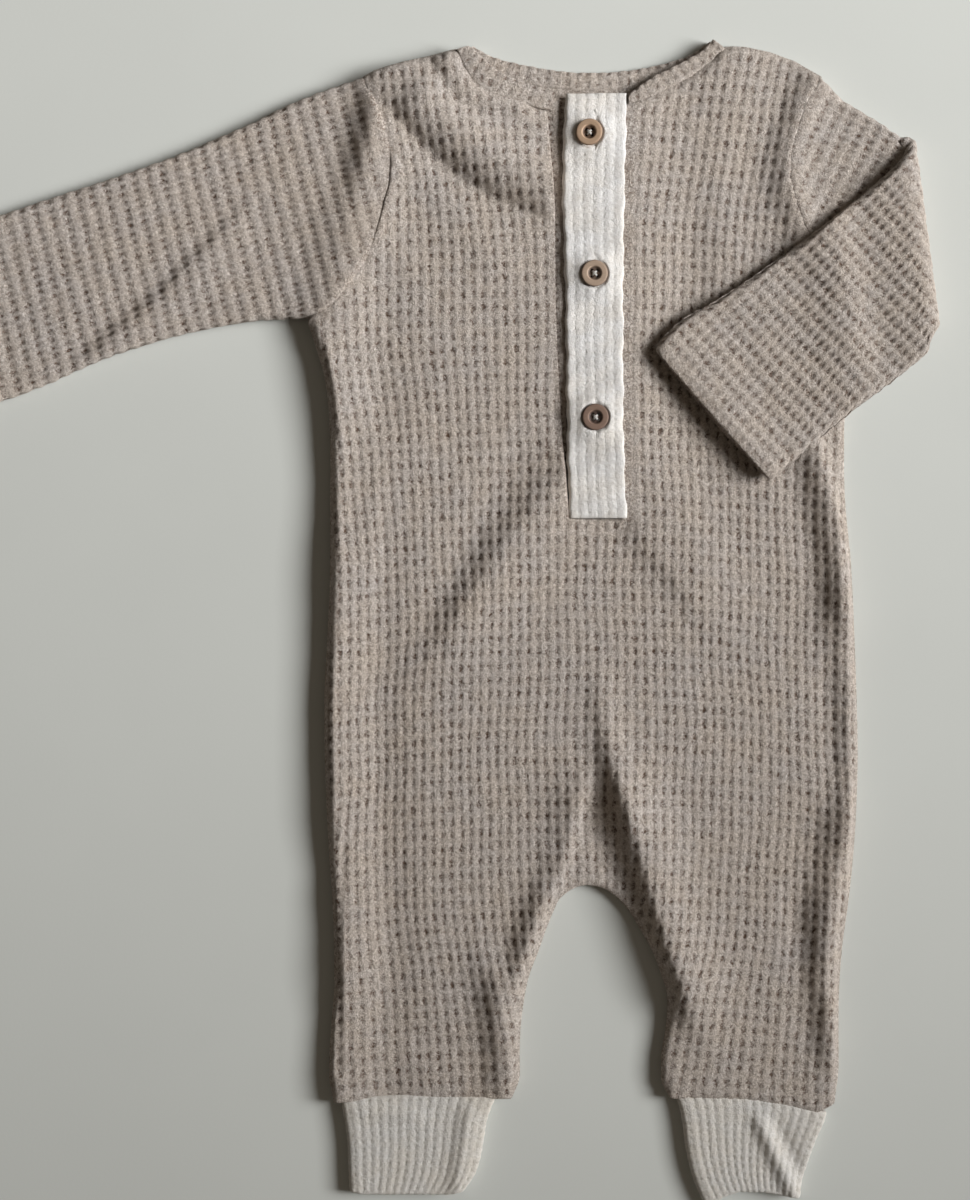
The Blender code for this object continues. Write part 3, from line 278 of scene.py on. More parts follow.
def smooth_read(where, table, column):
    """Reads a column of a table at any value of its first one, along a smooth curve through its rows."""
    rows = np.array(table, float)
    rows = rows[np.argsort(rows[:, 0])]
    known = rows[:, 0]
    values = rows[:, column]
    where = np.clip(np.asarray(where, float), known[0], known[-1])
    steps = np.diff(known)
    slopes = np.diff(values) / steps
    bends = np.empty(len(known))
    bends[1:-1] = (slopes[:-1] * steps[1:] + slopes[1:] * steps[:-1]) / (steps[1:] + steps[:-1])
    bends[0] = slopes[0]
    bends[-1] = slopes[-1]
    bends[1:-1] = np.where(slopes[:-1] * slopes[1:] <= 0, 0.0, bends[1:-1])
    at = np.clip(np.searchsorted(known, where, side="right") - 1, 0, len(steps) - 1)
    t = (where - known[at]) / steps[at]
    rise = values[at] * (1 + 2 * t) * (1 - t) ** 2 + values[at + 1] * t**2 * (3 - 2 * t)
    lean = steps[at] * (bends[at] * t * (1 - t) ** 2 - bends[at + 1] * t**2 * (1 - t))
    return rise + lean


def smooth_path(where, table, *columns):
    """Several columns of a table, each read along its smooth curve, side by side."""
    return np.stack([smooth_read(where, table, column) for column in columns], axis=-1)


def straight_read(where, table):
    """Reads the second column of a table at any value of its first one, straight between its rows."""
    rows = np.array(table, float)
    return np.interp(where, rows[:, 0], rows[:, 1])


def smooth_weights(where, known):
    """Weights that turn values given at known into values at where: a cubic with three-point slopes."""
    known = np.asarray(known, float)
    one = np.eye(len(known))
    steps = np.diff(known)
    chords = (one[1:] - one[:-1]) / steps[:, None]
    slopes = np.zeros_like(one)
    slopes[0], slopes[-1] = chords[0], chords[-1]
    both = (steps[1:] + steps[:-1])[:, None]
    slopes[1:-1] = (chords[:-1] * steps[1:, None] + chords[1:] * steps[:-1, None]) / both
    where = np.clip(where, known[0], known[-1])
    at = np.clip(np.searchsorted(known, where, side="right") - 1, 0, len(steps) - 1)
    t = ((where - known[at]) / steps[at])[:, None]
    rise = one[at] * (1 + 2 * t) * (1 - t) ** 2 + one[at + 1] * t**2 * (3 - 2 * t)
    lean = slopes[at] * t * (1 - t) ** 2 - slopes[at + 1] * t**2 * (1 - t)
    return rise + steps[at][:, None] * lean


def fold_height(across, up, folds):
    """The summed height of the folds: each is a soft ridge along a line, tapered to both its ends."""
    height = np.zeros(np.shape(across))
    for from_across, from_up, to_across, to_up, half_width, rise in folds:
        run = np.array([to_across - from_across, to_up - from_up])
        length = np.hypot(*run)
        along = ((across - from_across) * run[0] + (up - from_up) * run[1]) / length
        beside = ((across - from_across) * run[1] - (up - from_up) * run[0]) / length
        past = np.maximum(np.maximum(-along, along - length), 0.0)
        taper = bell(past, 1.6 * half_width)
        height += rise * taper * bell(beside, half_width)
    return height


def crest_height(across, up, crests, footed=False):
    """The summed height of the crests: bells across a path, wider on one side, that fade at its ends.

    Footed ones fall on their left as 1 - (distance / reach)^2.1 instead, down to a crease.
    """
    height = np.zeros(np.shape(across))
    for rise, left_reach, right_reach, path in crests:
        path = resample(path, 5.0)
        nearest = np.full(np.shape(across), np.inf)
        beside = np.zeros(np.shape(across))
        beyond = np.zeros(np.shape(across))
        last = len(path) - 2
        for at, ((x0, y0), (x1, y1)) in enumerate(zip(path[:-1], path[1:])):
            length = math.hypot(x1 - x0, y1 - y0)
            along = ((across - x0) * (x1 - x0) + (up - y0) * (y1 - y0)) / length
            off = ((across - x0) * (y0 - y1) + (up - y0) * (x1 - x0)) / length
            past = np.where(at == 0, np.maximum(-along, 0.0), 0.0)
            past = past + np.where(at == last, np.maximum(along - length, 0.0), 0.0)
            held = np.clip(along, 0.0, length)
            gap = np.hypot(along - held, off)
            closer = gap < nearest
            nearest = np.where(closer, gap, nearest)
            beside = np.where(closer, np.where(past > 0, off, np.sign(off) * gap), beside)
            beyond = np.where(closer, past, beyond)
        reach = np.where(beside > 0, right_reach, left_reach)
        fade = bell(beyond, (left_reach + right_reach) * (0.4 if footed else 1.0))
        section = bell(beside, reach)
        if footed:
            section = np.where(beside > 0, section, clamp(1.0 - np.abs(beside / reach) ** 2.1))
        height += rise * section * fade
    return height


def distance_to_path(across, up, path):
    """The shortest distance from each point to a line through the path's points."""
    nearest = np.full(np.shape(across), np.inf)
    for (x0, y0), (x1, y1) in zip(path[:-1], path[1:]):
        length = max(math.hypot(x1 - x0, y1 - y0), 1e-9)
        along = ((across - x0) * (x1 - x0) + (up - y0) * (y1 - y0)) / length
        along = np.clip(along, 0.0, length)
        beside_x = across - x0 - along * (x1 - x0) / length
        beside_y = up - y0 - along * (y1 - y0) / length
        nearest = np.minimum(nearest, np.hypot(beside_x, beside_y))
    return nearest


def roll_down(distance, width):
    """1 at a seam, 0 from the roll's width on, as a quarter of an ellipse."""
    share = clamp(distance / width)
    return 1.0 - np.sqrt(1.0 - (1.0 - share) ** 2)


def inside(across, up, outline):
    """Whether points lie in a closed outline: a line from each crosses its edges an odd number of times."""
    result = np.zeros(np.shape(across), bool)
    for (x0, y0), (x1, y1) in zip(outline, np.roll(outline, -1, axis=0)):
        if y0 == y1:
            continue
        crosses = (y0 > up) != (y1 > up)
        result ^= crosses & (across < x0 + (up - y0) * (x1 - x0) / (y1 - y0))
    return result


def nearest_on(points, outline):
    """The nearest point of the closed outline to each point."""
    best = np.full(len(points), np.inf)
    found = points.copy()
    for start, end in zip(outline, np.roll(outline, -1, axis=0)):
        run = end - start
        share = clamp((points - start) @ run / max(run @ run, 1e-12))
        spot = start + share[:, None] * run
        gap = np.linalg.norm(points - spot, axis=1)
        closer = gap < best
        best = np.where(closer, gap, best)
        found = np.where(closer[:, None], spot, found)
    return found


def resample(path, step):
    """Points at about equal steps along a path, its own corners left out."""
    path = np.asarray(path, float)
    lengths = lengths_along(path)
    count = max(int(round(lengths[-1] / step)), 1)
    at = np.linspace(0.0, lengths[-1], count + 1)
    return np.stack([np.interp(at, lengths, path[:, k]) for k in range(path.shape[1])], axis=1)


# ---------------------------------------------------------------- making meshes


def add_mesh(name, points, faces, surface, knit=None, marks=None):
    """A piece from points in garment millimetres and arrays of corner numbers.

    knit gives each point's place in the knit, in wales and courses, and marks named numbers at points.
    """
    mesh = bpy.data.meshes.new(name)
    corners = np.concatenate([np.asarray(face).ravel() for face in faces]).astype(np.int32)
    sizes = np.concatenate([np.full(len(face), np.shape(face)[1]) for face in faces])
    starts = np.concatenate([[0], np.cumsum(sizes)[:-1]]).astype(np.int32)
    placed = (np.asarray(points, float) + (CENTRE_LINE_X, LEG_HEM_Y, 0.0)) * MM
    mesh.vertices.add(len(points))
    mesh.vertices.foreach_set("co", placed.astype(np.float32).ravel())
    mesh.loops.add(len(corners))
    mesh.loops.foreach_set("vertex_index", corners)
    mesh.polygons.add(len(sizes))
    mesh.polygons.foreach_set("loop_start", starts)
    mesh.update(calc_edges=True)
    if knit is not None:
        layer = mesh.uv_layers.new(name="knit")
        layer.data.foreach_set("uv", np.asarray(knit, np.float32)[corners].ravel())
    for label, values in (marks or {}).items():
        attribute = mesh.attributes.new(label, "FLOAT", "POINT")
        attribute.data.foreach_set("value", np.asarray(values, np.float32))
    tidy = bmesh.new()
    tidy.from_mesh(mesh)
    bmesh.ops.remove_doubles(tidy, verts=tidy.verts, dist=0.02 * MM)
    bmesh.ops.dissolve_degenerate(tidy, edges=tidy.edges, dist=0.005 * MM)
    tidy.to_mesh(mesh)
    tidy.free()
    mesh.validate()
    mesh.shade_smooth()
    piece = bpy.data.objects.new(name, mesh)
    bpy.context.scene.collection.objects.link(piece)
    mesh.materials.append(surface)
    return piece


def normals_of(points):
    """Unit normals of a grid of points: the cross product of its columns' direction and its rows'."""
    return unit(np.cross(np.gradient(points, axis=1), np.gradient(points, axis=0)))


def grid_faces(rows, columns, ring=False):
    """Quads of a grid of points, closed round its columns if it is a ring."""
    steps = columns if ring else columns - 1
    row, column = np.meshgrid(np.arange(rows - 1), np.arange(steps), indexing="ij")
    after = (column + 1) % columns
    corners = (row * columns + column, row * columns + after, (row + 1) * columns + after)
    return np.stack([*corners, (row + 1) * columns + column], axis=-1).reshape(-1, 4)


def slow_waves(wale, course):
    """Half the sum of two sine waves that run askew over the knit, from -1 to 1."""
    return 0.5 * np.sin(1.9 * course + 2.3 * wale) + 0.5 * np.sin(0.83 * course - 3.1 * wale + 1.0)


def waffle(wale, course):
    """Relief of the waffle knit, 1 on a rib and 0 in a pit: 1 - (1 - rib)(1 - bridge).

    The ribs and bridges are raised cosines, broadened by a power and uneven from one to the next by
    sums of slow waves.
    """
    uneven = slow_waves(wale, course)
    rib = wave(wale) ** 0.6
    bridge = wave(course) ** 0.8
    pit = (1.0 - rib) * (1.0 - (0.78 + 0.15 * uneven) * bridge)
    return 1.0 - pit * (1.0 + 0.2 * uneven) - 0.08 * uneven - 0.34 * rib * bridge


def knit_place(wale, course):
    """Where a point of the knit lies: its wales and courses times their pitch, plus the pull."""
    across, up = wale * WALE, course * COURSE
    by_level = smooth_weights(up[:, 0], PULL_UP)
    by_place = smooth_weights(across[0], PULL_ACROSS).T
    arch = np.outer(ARCH_SHARE, ARCH)
    sideways = by_level @ np.array(PULL_SIDEWAYS) @ by_place
    lifted = by_level @ arch @ by_place
    wobble = 0.35 * np.sin(up / 13.0 + across / 31.0) + 0.25 * np.sin(up / 7.7 - across / 17.0 + 2.0)
    return across + sideways + wobble, up + lifted + 0.3 * np.sin(across / 9.1 + up / 23.0)


def cloth_panel(name, outline, mirrored, seen_height, hidden_height, seams, surface):
    """A panel of waffle knit over the outline, closed: relief on the side seen, plain on the other.

    The points of the side seen lie a quarter of a wale and of a course apart; those along the rim are
    moved onto the outline. seen_height and hidden_height give both sides' heights at across, up, and
    seams how much of each point is seam, where the waffle is pressed flat.
    """
    wale, course = np.meshgrid(
        np.arange(WALES[0] * FINE, WALES[1] * FINE + 1) / FINE,
        np.arange(COURSES[0] * FINE, COURSES[1] * FINE + 1) / FINE,
    )
    across, up = knit_place(wale, course)
    if mirrored:
        across = -across[:, ::-1]
        up = up[:, ::-1]
        wale = -wale[:, ::-1]
    rows, columns = across.shape
    middle_across = (across[:-1, :-1] + across[1:, 1:] + across[:-1, 1:] + across[1:, :-1]) / 4
    middle_up = (up[:-1, :-1] + up[1:, 1:] + up[:-1, 1:] + up[1:, :-1]) / 4
    kept = inside(middle_across, middle_up, outline)
    padded = np.pad(kept, 1)
    around = padded[:-1, :-1] * 1 + padded[1:, :-1] + padded[:-1, 1:] + padded[1:, 1:]
    used, rim = around > 0, (around > 0) & (around < 4)
    plan = np.stack([across, up], axis=-1)
    plan[rim] = nearest_on(plan[rim], outline)
    numbers = np.full((rows, columns), -1)
    numbers[used] = np.arange(used.sum())
    corners = (numbers[:-1, :-1], numbers[:-1, 1:], numbers[1:, 1:], numbers[1:, :-1])
    cells = np.stack([corner[kept] for corner in corners], axis=1)
    x, y = plan[..., 0], plan[..., 1]
    seam = seams(x, y)
    bare = np.dstack([x, y, seen_height(x, y)])
    normals = normals_of(bare)
    relief = (waffle(wale, course) - 1.0) * RELIEF + RELIEF_ABOVE
    pressed = RELIEF_ABOVE - PRESSED_DEPTH * RELIEF + 0.12 * np.sin(5.1 * x) * np.sin(4.3 * y)
    relief = relief * (1.0 - seam) + pressed * seam
    if mirrored:
        normals = -normals
        relief = relief - RELIEF_ABOVE
    seen = (bare + normals * relief[..., None])[used]
    if mirrored:
        seen[:, 2] = np.maximum(seen[:, 2], 0.0)
    marks = seam[used]
    knit = np.stack([wale, course], axis=-1)[used]

    # rim: the directed sides of the kept cells that no other cell shares
    sides = np.concatenate([cells[:, [0, 1]], cells[:, [1, 2]], cells[:, [2, 3]], cells[:, [3, 0]]])
    count = len(seen)
    keys, backward = sides[:, 0] * count + sides[:, 1], sides[:, 1] * count + sides[:, 0]
    edge = sides[~np.isin(keys, backward)]
    flat = plan[used]
    run = flat[edge[:, 1]] - flat[edge[:, 0]]
    outward = np.zeros((count, 2))
    for end in (0, 1):
        np.add.at(outward, edge[:, end], np.stack([run[:, 1], -run[:, 0]], axis=1))
    outward = unit(outward)
    ring = np.unique(edge)
    place = np.full(count, -1)
    place[ring] = np.arange(len(ring))
    under = hidden_height(flat[ring, 0], flat[ring, 1])
    layers = [seen]
    faces = [cells[:, ::-1] if mirrored else cells]
    last = edge
    first = count
    for share in (0.3, 0.7, 1.0):
        bulge = 0.55 * math.sin(math.pi * share)
        layer = np.column_stack([flat[ring] + bulge * outward[ring], np.zeros(len(ring))])
        layer[:, 2] = seen[ring, 2] * (1.0 - share) + under * share
        layers.append(layer)
        here = place[edge] + first
        wall = np.stack([last[:, 1], last[:, 0], here[:, 0], here[:, 1]], axis=1)
        faces.append(wall[:, ::-1] if mirrored else wall)
        last = here
        first += len(ring)

    # the other side: triangles between the rim and a wide net of points
    net = used & ~rim
    net[np.arange(rows) % 7 != 0] = False
    net[:, np.arange(columns) % 7 != 0] = False
    near = numbers[net]
    loose = flat[near]
    clear = distance_to_path(loose[:, 0], loose[:, 1], np.vstack([outline, outline[:1]]))
    near = near[clear > 2.5]
    spots = np.vstack([flat[ring], flat[near]])
    made = delaunay_2d_cdt([Vector(p) for p in spots], place[edge].tolist(), [], 1, 1e-5, True)
    origin = np.array([start[0] if start else -1 for start in made[3]])
    for lost in np.flatnonzero(origin < 0):
        origin[lost] = np.argmin(np.linalg.norm(flat[ring] - np.array(made[0][lost])[:2], axis=1))
    triangles = origin[np.array([face for face in made[2] if len(face) == 3])]
    centre = spots[triangles].mean(axis=1)
    once = (triangles != np.roll(triangles, 1, axis=1)).all(axis=1)
    triangles = triangles[once & inside(centre[:, 0], centre[:, 1], outline)]
    low = np.column_stack([flat[near], hidden_height(flat[near, 0], flat[near, 1])])
    layers.append(low)
    number_of = np.concatenate([np.arange(len(ring)) + first - len(ring), np.arange(len(near)) + first])
    triangles = number_of[triangles]
    faces.append(triangles if mirrored else triangles[:, ::-1])
    points = np.concatenate(layers)
    extra = np.concatenate([knit, *(knit[ring] for _ in range(3)), knit[near]])
    mark = np.concatenate([marks, *(np.ones(len(ring)) for _ in range(3)), marks[near]])
    return add_mesh(name, points, faces, surface, extra, {"seam": mark})


# ---------------------------------------------------------------- body


def edge_line(levels, table, column, moved=0.0):
    """An edge of a table as a path through the levels, moved across."""
    return np.column_stack([smooth_read(levels, table, column) + moved, levels])


def side_line(column, top_up):
    """A side of the body as a path from the hem up to top_up."""
    return edge_line(np.linspace(-2.0, top_up, 220), BODY_EDGES, column)


def inner_line(column):
    """The inner edge of a leg as a path from the hem up to the crotch."""
    levels = np.concatenate([np.linspace(0.0, 84.0, 60), np.linspace(85.0, 92.0, 24)])
    return edge_line(levels, LEG_INNER_EDGES, column)


def slit_line(column, moved=0.0):
    """An edge of the slit as a path from its end up to the neck, moved across."""
    return edge_line(np.linspace(SLIT_END_UP, SLIT_TOP_UP, 120), SLIT_EDGES, column, moved)


def armhole_line(column):
    """The body's edge along a sleeve, from under the arm to the shoulder."""
    return edge_line(np.linspace(UNDERARM_UP, SHOULDER_UP, 60), BODY_EDGES, column)


def body_outline(top):
    """The body's outline once round, over the top given, with the legs' hems and inner edges."""
    left = side_line(1, top[0][1])
    right = side_line(2, top[-1][1])
    left_leg, right_leg = inner_line(1), inner_line(2)
    hems = np.array(HEMS)
    left_hem, right_hem = hems[1:3][::-1], hems[5:8][::-1]
    return np.concatenate(
        [left, np.asarray(top), right[::-1], right_hem, right_leg, left_leg[::-1], left_hem]
    )


SLIT = np.concatenate([slit_line(1)[::-1], slit_line(2, -UNDER_STRIP)])
FRONT_OUTLINE = body_outline(np.concatenate([FRONT_TOP_LEFT[:-1], SLIT, FRONT_TOP_RIGHT[1:]]))
BACK_OUTLINE = body_outline(BACK_TOP)


SEAM_PATHS = (
    side_line(1, UNDERARM_UP)[::4],
    side_line(2, UNDERARM_UP)[::4],
    np.concatenate([inner_line(1), inner_line(2)[::-1]])[::3],
    LEFT_SHOULDER,
    RIGHT_SHOULDER,
    HEMS[:4],
    HEMS[4:],
)
ARMHOLE_PATHS = (armhole_line(1)[::2], armhole_line(2)[::2])
NECK_PATHS = (FRONT_TOP_LEFT[4:], FRONT_TOP_RIGHT[:6])


def nearest_of(x, y, paths):
    """The shortest distance to any of the paths."""
    nearest = np.full(np.shape(x), np.inf)
    for path in paths:
        nearest = np.minimum(nearest, distance_to_path(x, y, path))
    return nearest


def armhole_share(up):
    """How much of their ridge the armholes have at a level: less toward the underarm."""
    return np.clip((up - 300.0) / 80.0, 0.8, 1.0) * clamp((up - 326.0) / 12.0)


def soft_fall(distance, reach):
    """1 at no distance and 0 from the reach on, nearly straight between."""
    share = clamp(distance / reach)
    return (1.0 - share) * (1.0 - share * (1.0 - 2.0 * share) * 0.6) * (1.0 - share**4)


def front_top(x, y):
    """Height of the front's face: flat plus folds, crests, rim and ridge, rolled down at its seams."""
    rolled = roll_down(nearest_of(x, y, SEAM_PATHS), ROLL_WIDTH)
    armhole = nearest_of(x, y, ARMHOLE_PATHS)
    ridge = ARMHOLE_RIDGE * bell(armhole, ARMHOLE_RIDGE_WIDTH) * armhole_share(y)
    ridge = np.where(x < 0, crest_height(x, y, ARMHOLE_CREST), ridge)
    ridge = ridge - ARMHOLE_DROP * roll_down(armhole, ARMHOLE_ROLL)
    left = distance_to_path(x, y, side_line(1, UNDERARM_UP + 10.0)[::4])
    rim = smooth_read(y, LEFT_RIM, 1) * soft_fall(left - RIM_WIDTH, RIM_REACH)
    hollow = RIM_HOLLOW * bell(left - RIM_WIDTH - RIM_REACH, RIM_HOLLOW_WIDTH)
    rim = rim * (1.0 - roll_down(left, RIM_WIDTH))
    neck = NECK_DROP * bell(nearest_of(x, y, NECK_PATHS), NECK_DROP_WIDTH)
    folds = fold_height(x, y, FRONT_FOLDS) + fold_height(x, y, FRONT_CREASES)
    footed = np.where(x < 0, crest_height(x, y, FOOTED_CRESTS, True), 0.0)
    folds = folds + crest_height(x, y, FRONT_CRESTS) + footed
    raised = folds * (1.0 - rolled) + np.maximum(rim, ridge)
    return FLAT_HEIGHT + raised - hollow - ROLL_DROP * rolled - neck


def front_bottom(x, y):
    """Height of the front's inner side: a wall of the knit under its face, without the small creases."""
    rolled = roll_down(nearest_of(x, y, SEAM_PATHS), ROLL_WIDTH)
    folds = fold_height(x, y, FRONT_FOLDS)
    return FLAT_HEIGHT - KNIT - WALL_SLACK + folds * (1.0 - rolled) - (ROLL_DROP - WALL_SLACK) * rolled


def front_seams(x, y):
    """How far the front's waffle is pressed flat along its seams, the slit and the neck.

    Each strip is a bell of its half width; the one right of the slit stays flat and then falls evenly.
    """
    edges = bell(nearest_of(x, y, SEAM_PATHS), PRESSED_SEAM)
    neck = bell(nearest_of(x, y, NECK_PATHS), PRESSED_NECK)
    armhole = nearest_of(x, y, ARMHOLE_PATHS)
    sleeve = ARMHOLE_PRESS * np.exp(-((armhole / PRESSED_ARMHOLE) ** 4))
    left = bell(distance_to_path(x, y, slit_line(1)[::4]), PRESSED_SLIT)
    right = clamp(1.4 - distance_to_path(x, y, slit_line(2)[::4]) / 4.6)
    end = [(edge, SLIT_END_UP) for edge in SLIT_EDGES[-1][1:]]
    end = bell(distance_to_path(x, y, end), PRESSED_SLIT_END)
    total = np.maximum.reduce([edges, neck, sleeve, left, right, end])
    return clamp(total)


def back_bottom(x, y):
    """Height of the back's outer side: on the surface, and off it in its creases."""
    return -fold_height(x, y, BACK_CREASES)


def back_top(x, y):
    """Height of the back's inner side."""
    return np.full(np.shape(x), KNIT)


def back_seams(x, y):
    """How far the back's waffle is pressed flat along its side seams and the legs' inner seams."""
    return bell(nearest_of(x, y, SEAM_PATHS[:3]), PRESSED_BACK)


# ---------------------------------------------------------------- tubes: sleeves and cuffs

GAP = 0.3  # between pieces that lie on each other
SLEEVE_RELIEF = 0.72  # from a pit to the top of a rib
SLEEVE_END_HEIGHT = 8.4  # over the turned hem at the sleeve's end
SLEEVE_END_WALL = 3.0
SLEEVE_CORNER = 2.2  # radius of the corners at the end of the folded sleeve
SLEEVE_CORNER_INSET = 0.7  # the share of a quarter circle that they are cut in
SLEEVE_TURN_RADIUS = (FLAT_HEIGHT + 2 * GAP) / 2  # of the middle of the folded sleeve at its turn
SLEEVE_SINK = 2.0  # how far the folded sleeve settles past its turn
SLEEVE_CORNER_SINK = 1.3  # how far its end's upper corner settles more
SLEEVE_SUNK_CORNER = (30.0, 318.0, 30.0)  # across, up, reach

# Stretched sleeve: share of its length, fold edge across, up, underarm edge across, up
RIGHT_SLEEVE_EDGES = (
    (0.00, -98.2, 438.9, -122.0, 335.4), (0.05, -107.5, 436.2, -130.5, 335.2),
    (0.15, -124.7, 429.6, -143.5, 334.6), (0.30, -150.5, 417.2, -164.0, 331.2),
    (0.45, -176.5, 406.2, -186.0, 325.8), (0.60, -202.1, 396.9, -209.0, 318.0),
    (0.80, -236.5, 385.6, -236.5, 305.9), (1.00, -277.4, 371.5, -263.2, 296.7),
)
RIGHT_HEM_SHARE, RIGHT_HEM_LENGTH, RIGHT_ARMHOLE_SHARE = 0.9, 0.08, 0.4  # shares of its length
RIGHT_SLEEVE_FOLDS = (
    (-150.0, 375.0, -215.0, 326.0, 9.0, -1.1),
    (-104.0, 424.0, -108.0, 396.0, 7.0, -1.2),
    (-118.0, 345.0, -165.0, 352.0, 12.0, 0.8),
)
# Direction across the ribs, their pitch, direction across the bridges, their pitch
RIGHT_SLEEVE_KNIT = ((0.305, -0.952), 3.74, (-0.970, -0.235), 6.30)

# Folded sleeve: turn of the cloth in degrees (0 on the surface, 180 lying on itself),
# fold edge across, up, underarm edge across, up
LEFT_SLEEVE_EDGES = (
    (0, 99.4, 438.9, 122.0, 335.4), (0, 107.5, 430.6, 127.5, 333.4), (0, 116.0, 424.9, 133.0, 331.4),
    (0, 124.7, 419.7, 138.5, 330.4), (0, 132.6, 414.2, 143.6, 329.8), (30, 132.9, 413.6, 143.9, 329.8),
    (60, 133.1, 412.9, 144.0, 329.8), (90, 133.2, 411.7, 144.0, 329.6), (120, 133.1, 408.4, 143.8, 329.0),
    (150, 132.8, 404.5, 144.0, 326.4), (180, 131.0, 400.4, 144.4, 321.8), (180, 120.4, 391.0, 135.2, 312.6),
    (180, 109.0, 381.8, 123.6, 303.6), (180, 98.0, 373.0, 112.6, 295.4), (180, 84.0, 362.8, 102.6, 287.2),
    (180, 70.0, 352.9, 94.4, 280.0), (180, 54.0, 342.4, 87.0, 273.6), (180, 38.0, 333.2, 80.6, 268.2),
    (180, 26.7, 321.8, 76.5, 264.9),
)
LEFT_SLEEVE_FOLDS = (
    (96.0, 346.0, 114.0, 334.0, 10.0, -1.0),
    (40.0, 326.0, 62.0, 322.0, 12.0, 0.6),
)
TURN_FIRST, TURN_CREST, TURN_LAST, SLEEVE_LAST = 4, 7.0, 10, 18  # rows of the table
SETTLED_ROWS = 2.0  # rows past the turn until the sleeve has settled
ARMHOLE_ROWS = 3.5  # rows over which its edge follows the armhole
END_FIRST, HEM_FIRST, HEM_ROWS = 14.0, 16.0, 1.5
UPPER_Z, TURNED_UPPER_Z = 3.0, 9.0  # the upper layer lies above these, before the turn and past it
# Directions across the ribs and across the bridges, before the turn and after it
LEFT_SLEEVE_KNIT = ((-0.49, -0.872), (0.894, -0.44), (0.70, -0.72), (-0.75, -0.66))
LEFT_SLEEVE_WALE = 4.15
LEFT_SLEEVE_COURSE = 5.87

SLEEVE_FLAT = 150  # cells across each side of a sleeve
SLEEVE_TURN = 14  # cells round each of its edges


def ring_plan(flat, turn):
    """A flattened ring's points: share across, and the cosine and sine of the way round its edges.

    It runs along the underside from the first edge to the second, round it, back over the top and
    round the first edge. On the flat stretches the cosine is 0 and the sine -1 under and 1 over.
    """
    out, back = np.linspace(0, 1, flat + 1), np.linspace(1, 0, flat + 1)
    angle = np.linspace(-math.pi / 2, math.pi / 2, turn + 2)[1:-1]
    share = np.concatenate([out, np.ones(turn), back, np.zeros(turn)])
    cosine = np.concatenate([0 * out, np.cos(angle), 0 * back, -np.cos(angle[::-1])])
    sine = np.concatenate([0 * out - 1, np.sin(angle), 0 * back + 1, np.sin(angle[::-1])])
    return share, cosine, sine


def ring_arc(share, cosine, sine, radius, flat_length):
    """Signed distance round the ring from the middle of its first edge: + over the top, - underneath."""
    angle = np.arctan2(sine, np.abs(cosine))
    end = (share > 0.5) & (cosine > 1e-9)
    start = (share < 0.5) & (cosine < -1e-9)
    flat = np.sign(sine) * (radius * math.pi / 2 + share * flat_length)
    first = radius * angle
    second = np.where(sine >= 0, 1.0, -1.0) * (
        radius * math.pi / 2 + flat_length + radius * (math.pi / 2 - np.abs(angle))
    )
    return np.where(start, first, np.where(end, second, flat))


def tube_piece(name, outer, inner, knit, seam, surface):
    """A closed wall between two tubes with the same columns, rounded over at both its open ends."""
    outer[..., 2] = np.maximum(outer[..., 2], 0.0)
    columns = outer.shape[1]
    lips = []
    for at, before in ((-1, -2), (0, 1)):
        out = outer[at] - outer[before]
        out = out / np.maximum(np.linalg.norm(out, axis=1, keepdims=True), 1e-9)
        half = (outer[at] + inner[at]) / 2
        thick = np.linalg.norm(outer[at] - inner[at], axis=1, keepdims=True)
        over = outer[at] * 0.85 + inner[at] * 0.15 + out * thick * 0.3
        under = outer[at] * 0.15 + inner[at] * 0.85 + out * thick * 0.3
        lips.append((over, half + out * thick * 0.45, under))
    rings = [*outer, *lips[0], *inner[::-1], *lips[1][::-1]]
    points = np.array(rings)
    rows = len(points)
    faces = grid_faces(rows, columns, ring=True)
    last = (rows - 1) * columns + np.arange(columns)
    after = (rows - 1) * columns + (np.arange(columns) + 1) % columns
    joint = np.stack([last, after, (np.arange(columns) + 1) % columns, np.arange(columns)], axis=1)
    ends = np.linspace(0, 1, len(inner))
    inner_knit = knit[0][None] * (1 - ends)[:, None, None] + knit[-1][None] * ends[:, None, None]
    place = [*knit, *(knit[-1],) * 3, *inner_knit[::-1], *(knit[0],) * 3]
    mark = [*seam, *(np.ones(columns),) * 3, *(np.zeros((len(inner), columns))), *(np.ones(columns),) * 3]
    return add_mesh(
        name,
        points.reshape(-1, 3),
        [faces, joint],
        surface,
        np.array(place).reshape(-1, 2),
        {"seam": np.array(mark).ravel()},
    )


def capped(points, ends):
    """A grid of rings and a fan of triangles to a point at each end: its points and its faces."""
    rows, columns = points.shape[:2]
    ring = np.arange(columns)
    after = (ring + 1) % columns
    last = (rows - 1) * columns
    start = np.stack([after, ring, np.full(columns, rows * columns)], axis=1)
    end = np.stack([last + ring, last + after, np.full(columns, rows * columns + 1)], axis=1)
    return np.vstack([points.reshape(-1, 3), ends]), [grid_faces(rows, columns, ring=True), start, end]


def outward_normals(points):
    """Unit normals of a tube's points, away from its middle, its columns closed round."""
    along = np.gradient(points, axis=0)
    beside = np.roll(points, -1, axis=1) - np.roll(points, 1, axis=1)
    facing = unit(np.cross(beside, along))
    middle = points.mean(axis=1, keepdims=True)
    outward = np.sum(facing * (points - middle), axis=-1).mean()
    return facing if outward > 0 else -facing


